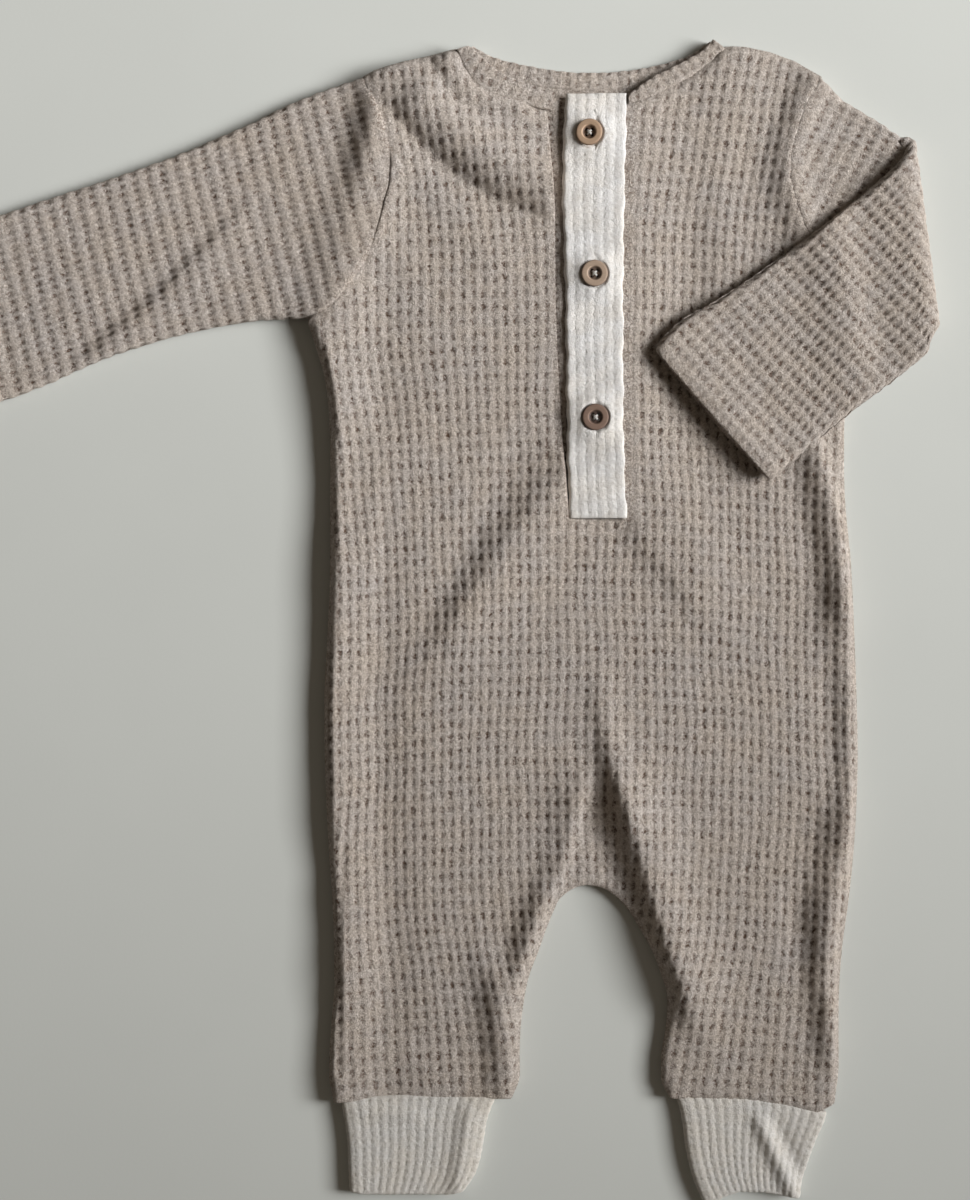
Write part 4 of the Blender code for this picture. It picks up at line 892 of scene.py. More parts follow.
def lay_ring(first, second, height, wall_in, plan, bulge):
    """Points of flattened rings between two edges seen from above, and their rise: rows x ring points."""
    share, cosine, sine = plan
    radius = (height - 2 * wall_in)[:, None] / 2
    line = second - first
    length = np.linalg.norm(line, axis=1)[:, None]
    end = height[:, None] / 2 / length
    inset = end + share * (1.0 - 2.0 * end) + radius * cosine / length
    seen = first[:, None, :] + inset[..., None] * line[:, None, :]
    seen = seen + bulge(inset)
    return seen, radius * sine + height[:, None] / 2


def follow_armhole(first, second, edge_column, reach, side):
    """How far a row's points stand off its straight line so as to follow the body's armhole."""

    def bulge(inset):
        """How far points at these shares of the row are moved."""
        inset = clamp(inset)
        start = first[0] + inset[..., None] * (second[0] - first[0])
        wanted = smooth_read(start[..., 1], BODY_EDGES, edge_column) - side * 0.5
        off = np.zeros((*inset.shape, 2))
        off[..., 0] = (wanted - start[..., 0]) * reach[:, None]
        return off

    return bulge


def turned_hem(share):
    """A sleeve's height and wall from its flat part, at 0, to its turned hem, at 1."""
    height = FLAT_HEIGHT + (SLEEVE_END_HEIGHT - FLAT_HEIGHT) * share
    return height, KNIT + (SLEEVE_END_WALL - KNIT) * share


def sleeve_seams(armhole, to_end):
    """How far a sleeve's waffle is pressed flat: bells along the armhole and the end."""
    return np.maximum(
        bell(armhole, PRESSED_SLEEVE), bell(to_end, PRESSED_SLEEVE_END)
    )


def upper_share(rise, height, wall):
    """1 on the upper layer of a flattened tube, 0 on the lower one, even between, round its edges."""
    return clamp((rise - height / 2) / (height / 2 - wall))


def sleeve_relief(knit, seam):
    """Relief of a sleeve's waffle: columns round the arm with lower bumps along each, in slow waves."""
    column_at, row_at = knit[..., 0], knit[..., 1]
    uneven = slow_waves(column_at, row_at)
    column = wave(column_at) ** 0.7
    row = wave(row_at)
    pit = (1.0 - column) * (1.0 - 0.7 * row) * (1.0 + 0.15 * uneven) + 0.16 * (1.0 - row)
    relief = -pit * SLEEVE_RELIEF - 0.06 * uneven
    return relief * (1.0 - seam) - PRESSED_DEPTH * SLEEVE_RELIEF * seam


def make_right_sleeve(surface):
    """The stretched sleeve: flattened rings between its two edges, from armhole to turned hem."""
    along = np.linspace(0.0, 1.0, 200)
    first = smooth_path(along, RIGHT_SLEEVE_EDGES, 1, 2)
    second = smooth_path(along, RIGHT_SLEEVE_EDGES, 3, 4)
    height, wall = turned_hem(clamp((along - RIGHT_HEM_SHARE) / RIGHT_HEM_LENGTH))
    reach = clamp(1.0 - along / RIGHT_ARMHOLE_SHARE) ** 2
    bulge = follow_armhole(first, second, 1, reach, -1.0)
    plan = ring_plan(SLEEVE_FLAT, SLEEVE_TURN)
    tubes = []
    for wall_in in (np.zeros(len(along)), wall):
        seen, rise = lay_ring(first, second, height, wall_in, plan, bulge)
        folds = fold_height(seen[..., 0], seen[..., 1], RIGHT_SLEEVE_FOLDS)
        folds = folds + crest_height(seen[..., 0], seen[..., 1], RIGHT_SLEEVE_CRESTS)
        tubes.append(np.dstack([seen, rise + folds * upper_share(rise, FLAT_HEIGHT, KNIT)]))
    outer, inner = tubes
    across_ribs, rib_pitch, across_bridges, bridge_pitch = RIGHT_SLEEVE_KNIT
    flat_length = (np.linalg.norm(second - first, axis=1) - height)[:, None]
    arc = ring_arc(*plan, height[:, None] / 2, flat_length)
    wale = ((first @ np.array(across_ribs))[:, None] + arc) / rib_pitch
    course = outer[..., :2] @ np.array(across_bridges) / bridge_pitch
    knit = np.stack([course, wale], axis=-1)
    armhole = np.linalg.norm(outer[..., :2] - outer[:1, :, :2], axis=-1)
    to_end = np.linalg.norm(outer[..., :2] - outer[-1:, :, :2], axis=-1)
    sunk = roll_down(armhole, ARMHOLE_ROLL)
    seam = sleeve_seams(armhole, to_end)
    normals = outward_normals(outer)
    relief = sleeve_relief(knit, seam)
    ground = outer[..., 2] < 0.5
    outer = outer + normals * (relief + np.where(ground, 0.0, RELIEF_ABOVE))[..., None]
    ridge = crest_height(outer[..., 0], outer[..., 1], ARMHOLE_CREST)
    upper = upper_share(outer[..., 2], FLAT_HEIGHT, KNIT)
    outer[..., 2] = outer[..., 2] + upper * (ridge - ARMHOLE_DROP * sunk)
    return tube_piece("right_sleeve_cloth", outer, inner[:: len(along) // 14], knit, seam, surface)


def make_left_sleeve(surface):
    """The folded sleeve: flattened rings from the armhole, round half a circle, then lying on the chest.

    Past the turn its upper layer settles by a squared sine to the height at which it lies.
    """
    table = numbered(LEFT_SLEEVE_EDGES)
    stretches = ((0, TURN_FIRST, 64), (TURN_FIRST, TURN_LAST, 24), (TURN_LAST, SLEEVE_LAST, 130))
    along = np.concatenate([np.linspace(start, end, count)[:-1] for start, end, count in stretches])
    along = np.append(along, float(SLEEVE_LAST))
    turn = np.radians(smooth_read(along, table, 1))
    first, second = smooth_path(along, table, 2, 3), smooth_path(along, table, 4, 5)
    for edge, other in ((first, second), (second, first)):
        left_over = np.clip(SLEEVE_CORNER - np.linalg.norm(edge - edge[-1], axis=1), 0.0, SLEEVE_CORNER)
        inset = SLEEVE_CORNER - np.sqrt(SLEEVE_CORNER**2 - left_over**2)
        line = (other - edge) / np.linalg.norm(other - edge, axis=1, keepdims=True)
        edge += SLEEVE_CORNER_INSET * inset[:, None] * line
    height, wall = turned_hem(clamp((along - HEM_FIRST) / HEM_ROWS))
    reach = clamp(1.0 - along / ARMHOLE_ROWS) ** 2
    bulge = follow_armhole(first, second, 2, reach, 1.0)
    plan = ring_plan(SLEEVE_FLAT, SLEEVE_TURN)
    out = second - first
    out = np.column_stack([-out[:, 1], out[:, 0]]) / np.linalg.norm(out, axis=1)[:, None]
    side, over = np.sin(turn)[:, None], np.cos(turn)[:, None]
    settled = clamp((along - TURN_LAST) / SETTLED_ROWS)
    settled = np.sin(0.5 * math.pi * settled)[:, None] ** 2
    corner_across, corner_up, corner_reach = SLEEVE_SUNK_CORNER
    tubes = []
    for wall_in in (np.zeros(len(along)), wall):
        seen, rise = lay_ring(first, second, height, wall_in, plan, bulge)
        centre = height[:, None] / 2
        thick = rise - centre
        seen = seen + out[:, None, :] * ((SLEEVE_TURN_RADIUS - thick) * side)[..., None]
        z = centre + SLEEVE_TURN_RADIUS * (1.0 - over) + thick * over
        upper = clamp((over < -0.99) * (-thick) / (FLAT_HEIGHT / 2 - KNIT))
        folds = fold_height(seen[..., 0], seen[..., 1], LEFT_SLEEVE_FOLDS)
        folds = folds + crest_height(seen[..., 0], seen[..., 1], LEFT_SLEEVE_CRESTS)
        corner = bell(np.hypot(seen[..., 0] - corner_across, seen[..., 1] - corner_up), corner_reach)
        z = z + upper * settled * (folds - SLEEVE_SINK - SLEEVE_CORNER_SINK * corner)
        tubes.append(np.dstack([seen, z]))
    outer, inner = tubes
    rib_before, bridge_before, rib_after, bridge_after = (np.array(way) for way in LEFT_SLEEVE_KNIT)
    flat_length = (np.linalg.norm(second - first, axis=1) - height)[:, None]
    arc = ring_arc(*plan, height[:, None] / 2, flat_length)
    before, after = first @ rib_before, -(first @ rib_after)
    crest = int(np.argmin(abs(along - TURN_CREST)))
    start = np.where(along < TURN_CREST, before, after + before[crest] - after[crest])
    wale = (start[:, None] + arc) / LEFT_SLEEVE_WALE
    moved = np.diff(outer, axis=0)
    turning = ((along[:-1] >= TURN_FIRST) & (along[:-1] < TURN_LAST))[:, None]
    later = (along[:-1] >= TURN_LAST)[:, None]
    steps = np.where(later, moved[..., :2] @ bridge_after, moved[..., :2] @ bridge_before)
    steps = np.where(turning, 0.9 * np.linalg.norm(moved, axis=-1), steps)
    begin = outer[:1, :, :2] @ bridge_before
    course = np.concatenate([begin, begin + np.cumsum(steps, axis=0)]) / LEFT_SLEEVE_COURSE
    knit = np.stack([course, wale], axis=-1)
    armhole = np.linalg.norm(outer - outer[:1], axis=-1)
    armhole = np.where(along[:, None] < TURN_CREST, armhole, np.inf)
    to_end = np.where(along[:, None] > END_FIRST, np.linalg.norm(outer - outer[-1:], axis=-1), np.inf)
    sunk = roll_down(armhole, ARMHOLE_ROLL)
    seam = sleeve_seams(armhole, to_end)
    normals = outward_normals(outer)
    relief = sleeve_relief(knit, seam)
    past = (outer[..., 2] > TURNED_UPPER_Z) | (along[:, None] < TURN_CREST)
    free = (outer[..., 2] > UPPER_Z) & past
    outer = outer + normals * (relief + np.where(free, RELIEF_ABOVE, 0.0))[..., None]
    ridge = ARMHOLE_RIDGE * bell(armhole, SLEEVE_RIDGE_WIDTH) * armhole_share(outer[..., 1])
    above = outer[..., 2] > UPPER_Z
    outer[..., 2] = np.where(above, outer[..., 2] + ridge - ARMHOLE_DROP * sunk, outer[..., 2])
    return tube_piece("left_sleeve_cloth", outer, inner[:: len(along) // 24], knit, seam, surface)


# Ankle cuffs: share of the way down, left edge, right edge
RIGHT_CUFF_EDGES = (
    (0.0, -107.0, -40.2), (0.1, -106.4, -42.0), (0.25, -105.4, -44.2), (0.5, -104.2, -46.0),
    (0.7, -103.9, -47.6), (0.85, -103.7, -49.8), (1.0, -103.4, -54.0),
)
LEFT_CUFF_EDGES = (
    (0.0, 37.0, 101.8), (0.1, 38.6, 100.8), (0.25, 40.0, 98.4), (0.45, 41.2, 95.6), (0.65, 43.0, 93.2),
    (0.85, 46.0, 91.2), (1.0, 49.2, 90.3),
)
# Their lower edges: across, up
RIGHT_CUFF_END = ((-104.0, -39.6), (-98.0, -40.6), (-60.0, -40.9), (-52.0, -39.0))
LEFT_CUFF_END = ((48.0, -45.6), (52.0, -44.9), (58.0, -41.6), (64.0, -39.6), (74.0, -39.8), (91.0, -42.2))
CUFF_LENGTH = 41.0
CUFF_OVER_HEM = 0.8  # how far a cuff reaches up past the leg's hem line
CUFF_KNIT = 1.8  # thickness of its cloth
CUFF_HEIGHT = 5.2
CUFF_RIBS = 14
CUFF_RIB_HEIGHT = 0.19
CUFF_RIBS_ABOVE = 0.4  # how far the ribs stand over the solid's face
CUFF_PINCH = 0.7  # how far the seam at its top draws it down
CUFF_PINCH_REACH = 3.0
LEFT_CUFF_FOLDS = ((74.0, -12.0, 88.0, -42.0, 3.6, 2.2), (82.0, -16.0, 92.0, -36.0, 4.0, -1.2))
RIGHT_CUFF_FOLDS = ((-52.0, -6.0, -57.0, -36.0, 4.0, 1.3), (-98.0, -5.0, -76.0, -7.0, 3.0, 1.0))
CUFF_COURSE = 3.4


def make_cuff(name, table, end, folds, surface):
    """A flattened tube of rib knit: ribs as raised cosines round it, crossed by faint courses."""
    down = np.linspace(0.0, 1.0, 56)[:, None]
    left = smooth_read(down, table, 1)
    width = smooth_read(down, table, 2) - left
    share, cosine, sine = ring_plan(9 * CUFF_RIBS, 12)
    tubes = []
    for wall_in in (0.0, CUFF_KNIT):
        radius = CUFF_HEIGHT / 2 - wall_in
        across = left + CUFF_HEIGHT / 2 + share * (width - CUFF_HEIGHT) + radius * cosine
        hem_up = straight_read(across[0], HEMS)[None, :] + CUFF_OVER_HEM
        end_up = straight_read(across[-1], end)[None, :]
        up = hem_up + down * (end_up - hem_up)
        rise = radius * sine + CUFF_HEIGHT / 2 + 0 * down
        raised = fold_height(across, up, folds) * clamp(down / 0.2)
        tubes.append(np.dstack([across, up, rise + raised * upper_share(rise, CUFF_HEIGHT, CUFF_KNIT)]))
    outer, inner = tubes
    wale = np.where(sine > 0, 1.0, -1.0) * (CUFF_RIBS * share + 0.5) + 0 * down
    course = (outer[0, :, 1][None] - outer[..., 1]) / CUFF_COURSE
    knit = np.stack([wale, course], axis=-1)
    rib = 0.5 - 0.5 * np.cos(2 * math.pi * CUFF_RIBS * share)
    rib = np.where(np.abs(cosine) > 1e-9, 0.5 - 0.5 * np.cos(4 * np.arcsin(sine)), rib)
    ripple = 0.12 * np.cos(2 * math.pi * course) * (1.0 - rib)
    seam = bell((1.0 - down) * CUFF_LENGTH, 1.0) + 0 * wale
    relief = CUFF_RIB_HEIGHT * (rib - 1.0) + ripple
    pinch = roll_down(down * CUFF_LENGTH + 0 * wale, CUFF_PINCH_REACH)
    above = np.where(outer[..., 2] < 0.5, 0.0, CUFF_RIBS_ABOVE)
    outer = outer + outward_normals(outer) * (relief + above)[..., None]
    outer[..., 2] = outer[..., 2] - np.where(outer[..., 2] > CUFF_HEIGHT / 2, CUFF_PINCH, 0.0) * pinch
    return tube_piece(name, outer, inner[::11], knit, seam, surface)


# ---------------------------------------------------------------- neck bindings and placket

BINDING_THICK = 3.0
BINDING_ROUNDNESS = 0.6  # power of its section's sine and cosine: 1 is an oval, less is squarer
BINDING_PITCH = 4.4
BINDING_PITS = 1.9  # rows of pits over its width
BINDING_LAP = 1.0  # how far it reaches down over the panel's edge

# Neck bindings: across, up of the free edge, across of the seam, height of the middle
RIGHT_BINDING = (
    (-52.0, 452.0, -58.0, 6.6), (-48.4, 448.9, -54.3, 7.6), (-43.4, 444.0, -49.2, 8.0),
    (-36.1, 439.2, -42.0, 7.6), (-25.8, 435.6, -30.0, 6.8), (-14.9, 432.0, -18.6, 6.0),
)
LEFT_BINDING = (
    (52.6, 455.2, 58.0, 5.0), (48.0, 450.4, 53.0, 5.1), (38.7, 445.0, 43.2, 5.3), (27.9, 439.6, 32.4, 5.4),
    (21.5, 435.4, 23.8, 5.4), (16.6, 431.6, 16.4, 5.3),
)
BACK_BINDING = (
    (-49.9, 453.2, -56.8, 1.5), (-45.2, 450.2, -51.0, 1.5), (-38.7, 447.6, -43.6, 1.5),
    (-30.1, 445.5, -32.0, 1.5), (-17.2, 443.1, -17.8, 1.5), (-4.3, 441.8, -4.3, 1.5),
    (4.3, 441.8, 4.3, 1.5), (17.2, 442.8, 17.8, 1.5), (30.1, 445.2, 32.0, 1.5), (42.6, 449.2, 45.4, 1.5),
    (51.7, 455.2, 57.6, 1.5),
)


def make_binding(name, table, panel_top, surface):
    """A folded strip round the neck: a squared oval section with rows of pits, carried along its path."""
    table = numbered(table)
    along = np.linspace(0.0, len(table) - 1.0, 32 * len(table))
    free = smooth_path(along, table, 1, 2)
    seam_across = smooth_read(along, table, 3)
    seam = np.stack([seam_across, straight_read(seam_across, panel_top) - BINDING_LAP], axis=-1)
    middle = smooth_read(along, table, 4)
    turn = np.linspace(0.0, 2 * math.pi, 44, endpoint=False)
    share = 0.5 + 0.5 * np.sign(np.cos(turn)) * np.abs(np.cos(turn)) ** BINDING_ROUNDNESS
    rise = BINDING_THICK / 2 * np.sign(np.sin(turn)) * np.abs(np.sin(turn)) ** BINDING_ROUNDNESS
    seen = free[:, None, :] + share[None, :, None] * (seam - free)[:, None, :]
    points = np.dstack([seen, middle[:, None] + rise[None, :]])
    length = lengths_along((free + seam) / 2)
    wale = length[:, None] / BINDING_PITCH + 0 * turn
    course = (share * BINDING_PITS + 0.3)[None, :] + 0 * wale
    knit = np.stack([wale, course], axis=-1)
    uneven = np.sin(3.4 * wale + 1.3 * turn)
    relief = (waffle(wale, course) - 1.0) * 0.4 + 0.08 * uneven
    points = points + outward_normals(points) * relief[..., None]
    points[..., 2] = np.maximum(points[..., 2], 0.0)
    flat, faces = capped(points, [points[0].mean(axis=0), points[-1].mean(axis=0)])
    knit = np.vstack([knit.reshape(-1, 2), [knit[0, 0], knit[-1, 0]]])
    piece = add_mesh(name, flat, faces, surface, knit, {"seam": np.full(len(flat), 0.25)})
    turn_outward(piece)
    return piece


def turn_outward(piece):
    """Turns a closed mesh's faces outward."""
    shape = bmesh.new()
    shape.from_mesh(piece.data)
    bmesh.ops.recalc_face_normals(shape, faces=shape.faces)
    shape.to_mesh(piece.data)
    shape.free()


# The strip on top: up, left edge, right edge
PLACKET_EDGES = (
    (431.3, -10.8, 15.4), (420.0, -11.3, 15.1), (394.7, -12.0, 14.5), (343.1, -10.8, 13.8),
    (300.1, -10.3, 13.8), (270.0, -9.8, 14.3), (249.2, -9.0, 15.4),
)
PLACKET_THICK = 1.8
PLACKET_RIBS = 6
PLACKET_RIB_HEIGHT = 0.5
PLACKET_MIDDLE = 6.85  # height of the middle of the strip
PLACKET_COURSE = 3.25
PLACKET_ROLL = 1.6  # how far in from its edges it is rounded
PLACKET_DROPS = (1.3, 0.35)  # how far its left and right halves' edges sink
PLACKET_EDGE_THICK = 0.9
PLACKET_OVER_SEAM = 0.2  # how far the strip's right edge covers its seam
PLACKET_OVER_FRONT = 0.15  # how far that edge stays over the front's ribs
PLACKET_LIFT_REACH = 0.7  # the share of its width over which that lifts it
BUTTON_PUFF = 1.25  # how far it puffs up round a button
BUTTON_PUFF_REACH = 5.5
UNDER_PLACKET_THICK = 1.2
UNDER_PLACKET_MIDDLE = 3.1
UNDER_PLACKET_TOP_UP = 430.0
UNDER_PLACKET_REACH = 1.6  # how far it reaches left of the slit
UNDER_PLACKET_INSET = 4.0  # how far its right edge lies in from that of the strip on top
FACING_ACROSS = -10.0  # the right edge of its facing
FACING_RISE = ((350.0, 2.5), (385.0, 2.3), (400.0, 2.1), (428.0, 2.0))  # up, rise
BUTTONHOLE_ACROSS = 2.6
BUTTONHOLE_LENGTH = 13.0
BUTTONHOLE_WIDTH = 1.0


def sheet_shell(name, top, bottom, knit, seam, surface):
    """A closed sheet between two grids of points with the same rows and columns."""
    rows, columns = top.shape[:2]
    count = rows * columns
    upper = grid_faces(rows, columns)
    numbers = np.arange(count).reshape(rows, columns)
    rim = np.concatenate([numbers[0], numbers[1:, -1], numbers[-1, -2::-1], numbers[-2:0:-1, 0]])
    after = np.roll(rim, -1)
    points = np.concatenate([top.reshape(-1, 3), bottom.reshape(-1, 3)])
    walls = np.stack([after, rim, rim + count, after + count], axis=1)
    piece = add_mesh(
        name,
        points,
        [upper, upper[:, ::-1] + count, walls],
        surface,
        np.concatenate([knit.reshape(-1, 2)] * 2),
        {"seam": np.concatenate([seam.ravel()] * 2)},
    )
    turn_outward(piece)
    return piece


def make_placket_top(surface):
    """The cream strip: raised cosines as ribs, edges rounded off, slow waves as puckers.

    It puffs up by a bell round each button, has a groove as each buttonhole, and is lifted toward its
    right edge by a bell so that this edge stays over the front.
    """
    levels = np.linspace(PLACKET_EDGES[0][0], PLACKET_EDGES[-1][0], 230)
    left = smooth_read(levels, PLACKET_EDGES, 1)[:, None]
    right = smooth_read(levels, PLACKET_EDGES, 2)[:, None] + PLACKET_OVER_SEAM
    share = np.linspace(0.0, 1.0, 10 * PLACKET_RIBS + 1)[None, :]
    up = levels[:, None] + 0 * share
    across = left + share * (right - left) + 0.25 * np.sin(up / 9.0) * np.sin(math.pi * share)
    across = across + (2.0 * share - 1.0) * (0.22 * np.sin(up / 1.6) + 0.2 * np.sin(up / 4.3))
    wale = PLACKET_RIBS * share + 0.5 + 0 * up
    course = up / PLACKET_COURSE + 0.12 * np.sin(wale * 2.1)
    edge = np.minimum(share, 1.0 - share) * (right - left)
    ends = np.minimum(levels[0] - up, up - levels[-1])
    soft = 1.0 - roll_down(np.minimum(edge, ends + 0.3), PLACKET_ROLL)
    rib = wave(wale)
    ripple = (0.15 - 0.1 * rib) * np.cos(2 * math.pi * course)
    pucker = 0.2 * np.sin(up / 5.1 + 3.0 * share) + 0.14 * np.sin(up / 2.3 - 7.0 * share)
    height = PLACKET_MIDDLE + PLACKET_THICK / 2 + PLACKET_RIB_HEIGHT * (0.83 + 0.17 * rib)
    height = height + ripple + pucker * soft
    for button_across, button_up, _ in BUTTONS:
        beside = np.abs(across - BUTTONHOLE_ACROSS)
        past = np.maximum(np.abs(up - button_up) - BUTTONHOLE_LENGTH / 2, 0.0)
        groove = np.hypot(beside, past)
        height = height - 0.12 * bell(groove, 0.7 * BUTTONHOLE_WIDTH)
        far = np.hypot(across - button_across, up - button_up) - BUTTON_DIAMETER / 2
        puffed = clamp((far + 0.2) / 0.8) * bell(np.maximum(far, 0.0), BUTTON_PUFF_REACH)
        height = height + BUTTON_PUFF * puffed * (1.0 - 0.3 * bell(groove, 1.2))
    left_drop, right_drop = PLACKET_DROPS
    height = height - np.where(share > 0.5, right_drop, left_drop) * (1.0 - soft)
    beside = np.maximum.reduce([front_top(right + off, levels[:, None]) for off in (-1.5, 0.0, 1.5)])
    lift = np.maximum(beside + RELIEF_ABOVE + PLACKET_OVER_FRONT - height[:, -1:], 0.0)
    height = height + lift * bell(1.0 - share, PLACKET_LIFT_REACH)
    top = np.dstack([across, up, height])
    bottom = np.dstack([across, up, height - PLACKET_THICK * soft - PLACKET_EDGE_THICK * (1.0 - soft)])
    knit = np.stack([wale, course], axis=-1)
    return sheet_shell("placket_top_cloth", top, bottom, knit, 0.3 * (1.0 - soft), surface)


def make_placket_under(surface, facing):
    """The strip under it, with the same ribs; its facing of the body's knit rises beside the slit."""
    levels = np.linspace(UNDER_PLACKET_TOP_UP, SLIT_END_UP + 5 * GAP, 90)
    left = (smooth_read(levels, SLIT_EDGES, 1) - UNDER_PLACKET_REACH)[:, None]
    right = (smooth_read(levels, PLACKET_EDGES, 2) - UNDER_PLACKET_INSET)[:, None]
    share = np.linspace(0.0, 1.0, 41)[None, :]
    across = left + share * (right - left)
    up = levels[:, None] + 0 * share
    wale = PLACKET_RIBS * share + 0 * up
    course = up / PLACKET_COURSE
    height = UNDER_PLACKET_MIDDLE + UNDER_PLACKET_THICK / 2 + 0.2 * np.cos(2 * math.pi * wale)
    rise = straight_read(up, FACING_RISE)
    rise = rise * clamp((across - left) / UNDER_PLACKET_REACH)
    height = height + rise * clamp((FACING_ACROSS + 1.5 - across) / 2.0)
    top = np.dstack([across, up, height])
    bottom = np.dstack([across, up, 0 * up + UNDER_PLACKET_MIDDLE - UNDER_PLACKET_THICK / 2])
    knit = np.stack([wale, course], axis=-1)
    piece = sheet_shell("placket_under_cloth", top, bottom, knit, 0 * wale, surface)
    piece.data.materials.append(facing)
    middles = np.empty(3 * len(piece.data.polygons))
    piece.data.polygons.foreach_get("center", middles)
    covered = middles[0::3] < (FACING_ACROSS + CENTRE_LINE_X) * MM
    piece.data.polygons.foreach_set("material_index", covered.astype(np.int32))
    return piece


# ---------------------------------------------------------------- buttons and thread

# Buttons: across, up, tilt in degrees
BUTTONS = ((-0.4, 414.1, 9.0), (1.7, 353.9, 2.0), (2.1, 292.4, 2.0))
BUTTON_DIAMETER = 11.43
BUTTON_REST = PLACKET_MIDDLE + PLACKET_THICK / 2 + PLACKET_RIB_HEIGHT + GAP
BUTTON_HOLE_DIAMETER = 1.3
BUTTON_HOLE_SPACING = 2.3
BUTTON_WELL_DEPTH = 1.35
BUTTON_DISH_RADIUS = 2.95
# Half of the button's section from the middle of its dish to the middle of its back: distance out, height
BUTTON_SECTION = (
    (0.0, 1.62), (1.5, 1.64), (2.3, 1.72), (2.72, 1.95), (2.98, 2.35), (3.2, 2.56), (3.5, 2.6), (4.9, 2.6),
    (5.35, 2.52), (5.62, 2.25), (5.715, 1.8), (5.66, 1.25), (5.4, 0.7), (4.8, 0.2), (4.2, 0.0), (0.0, 0.0),
)


def on_button(place, x, y, z):
    """Points given on the button, tilted across by its angle and carried to where the button lies."""
    across, up, tilt = place
    lean = math.radians(tilt)
    lift = BUTTON_DIAMETER / 2 * math.sin(lean)
    placed_x = across + x * math.cos(lean) - z * math.sin(lean)
    placed_z = BUTTON_REST + lift + x * math.sin(lean) + z * math.cos(lean)
    return np.stack([placed_x, up + y, placed_z], axis=-1)


def make_button(name, place, surface):
    """A turned wooden button: its section carried round, with four wells sunk where the thread goes in."""
    section = resample(BUTTON_SECTION, 0.14)
    section[0, 0] = 0.02
    section[-1, 0] = 0.02
    angle = np.linspace(0.0, 2 * math.pi, 96, endpoint=False)
    out = section[:, 0][:, None]
    x, y = out * np.cos(angle), out * np.sin(angle)
    z = section[:, 1][:, None] + 0 * angle
    half = BUTTON_HOLE_SPACING / 2
    top = z > 1.2
    hole = np.zeros(x.shape)
    for sign_x, sign_y in ((1, 1), (1, -1), (-1, 1), (-1, -1)):
        far = np.hypot(x - sign_x * half, y - sign_y * half)
        hole = np.maximum(hole, clamp((BUTTON_HOLE_DIAMETER / 2 + 0.12 - far) / 0.24))
    z = z - np.where(top, hole, 0.0) * BUTTON_WELL_DEPTH
    points = on_button(place, x, y, z)
    flat, faces = capped(points, [points[0].mean(axis=0), points[-1].mean(axis=0)])
    grain = np.vstack([np.dstack([x, y]).reshape(-1, 2), [0.0, 0.0], [0.0, 0.0]])
    dish = clamp((BUTTON_DISH_RADIUS - np.hypot(x, y)) / 0.3) * top
    marks = {
        "dish": np.append(dish.ravel(), (1.0, 0.0)),
        "well": np.append((hole * top).ravel(), (0.0, 0.0)),
        "rim": np.append((clamp((z - 2.2) / 0.25) * top).ravel(), (0.0, 0.0)),
    }
    piece = add_mesh(name, flat, faces, surface, grain, marks)
    turn_outward(piece)
    return piece


THREAD_SIDES = 8
THREAD_LAY = 0.62  # from one twist of the thread to the next
CROSS_THREAD = (0.2, 0.6)  # radius and twist of the thread on a button
WHIP_THREAD = (0.85, 0.8)  # radius and twist of a buttonhole's whipped edge
# The gaping edge of the top buttonhole: across, up, rise
HOLE_LIP = (
    (2.0, 423.9, 0.0), (3.2, 421.6, 0.15), (4.6, 418.6, 0.3), (5.9, 416.0, 0.4), (6.6, 413.6, 0.4),
    (5.6, 411.2, 0.3), (3.6, 409.0, 0.2), (2.4, 407.0, 0.05), (1.8, 405.4, -0.1),
)


def tube_along(path, radius, twist):
    """A round tube along a path, capped, its radius times 1 plus a cosine along it, as twisted thread."""
    tangent = np.gradient(path, axis=0)
    tangent /= np.linalg.norm(tangent, axis=1, keepdims=True)
    beside = np.cross(tangent, (0.13, 0.07, 1.0))
    beside /= np.linalg.norm(beside, axis=1, keepdims=True)
    above = np.cross(beside, tangent)
    angle = np.linspace(0.0, 2 * math.pi, THREAD_SIDES, endpoint=False)[None, :, None]
    length = lengths_along(path)
    ripple = 1.0 + 0.22 * twist * np.cos(2 * math.pi * length / THREAD_LAY)[:, None, None]
    round_it = np.cos(angle) * beside[:, None] + np.sin(angle) * above[:, None]
    flat, (quads, *fans) = capped(path[:, None] + radius * ripple * round_it, path[[0, -1]])
    return flat, quads, np.concatenate(fans)


def make_threads(name, runs, surface):
    """Several runs of thread as one piece: each is a path, a radius and its twist."""
    points, quads, ends = [], [], []
    first = 0
    for path, radius, twist in runs:
        flat, faces, caps = tube_along(path, radius, twist)
        points.append(flat)
        quads.append(faces + first)
        ends.append(caps + first)
        first += len(flat)
    piece = add_mesh(name, np.vstack(points), [np.vstack(quads), np.vstack(ends)], surface)
    turn_outward(piece)
    return piece


def cross_threads(place):
    """Thread over the button's dish: two strands along each diagonal, down into the wells at both ends."""
    runs = []
    t = np.linspace(-1.0, 1.0, 19)
    half = BUTTON_HOLE_SPACING / 2
    for turn, lift in ((1.0, 0.0), (-1.0, 0.28)):
        for strand in (-1, 1):
            off = 0.24 * strand
            bow = 1.0 - np.abs(t) ** 4
            x = 0.84 * t * half + off * 0.7 + 0.05 * np.sin(4 * t + strand)
            y = turn * (0.84 * t * half - off * 0.7)
            z = 0.9 + (1.15 + lift + 0.06 * strand) * bow
            runs.append((on_button(place, x, y, z), *CROSS_THREAD))
    return runs


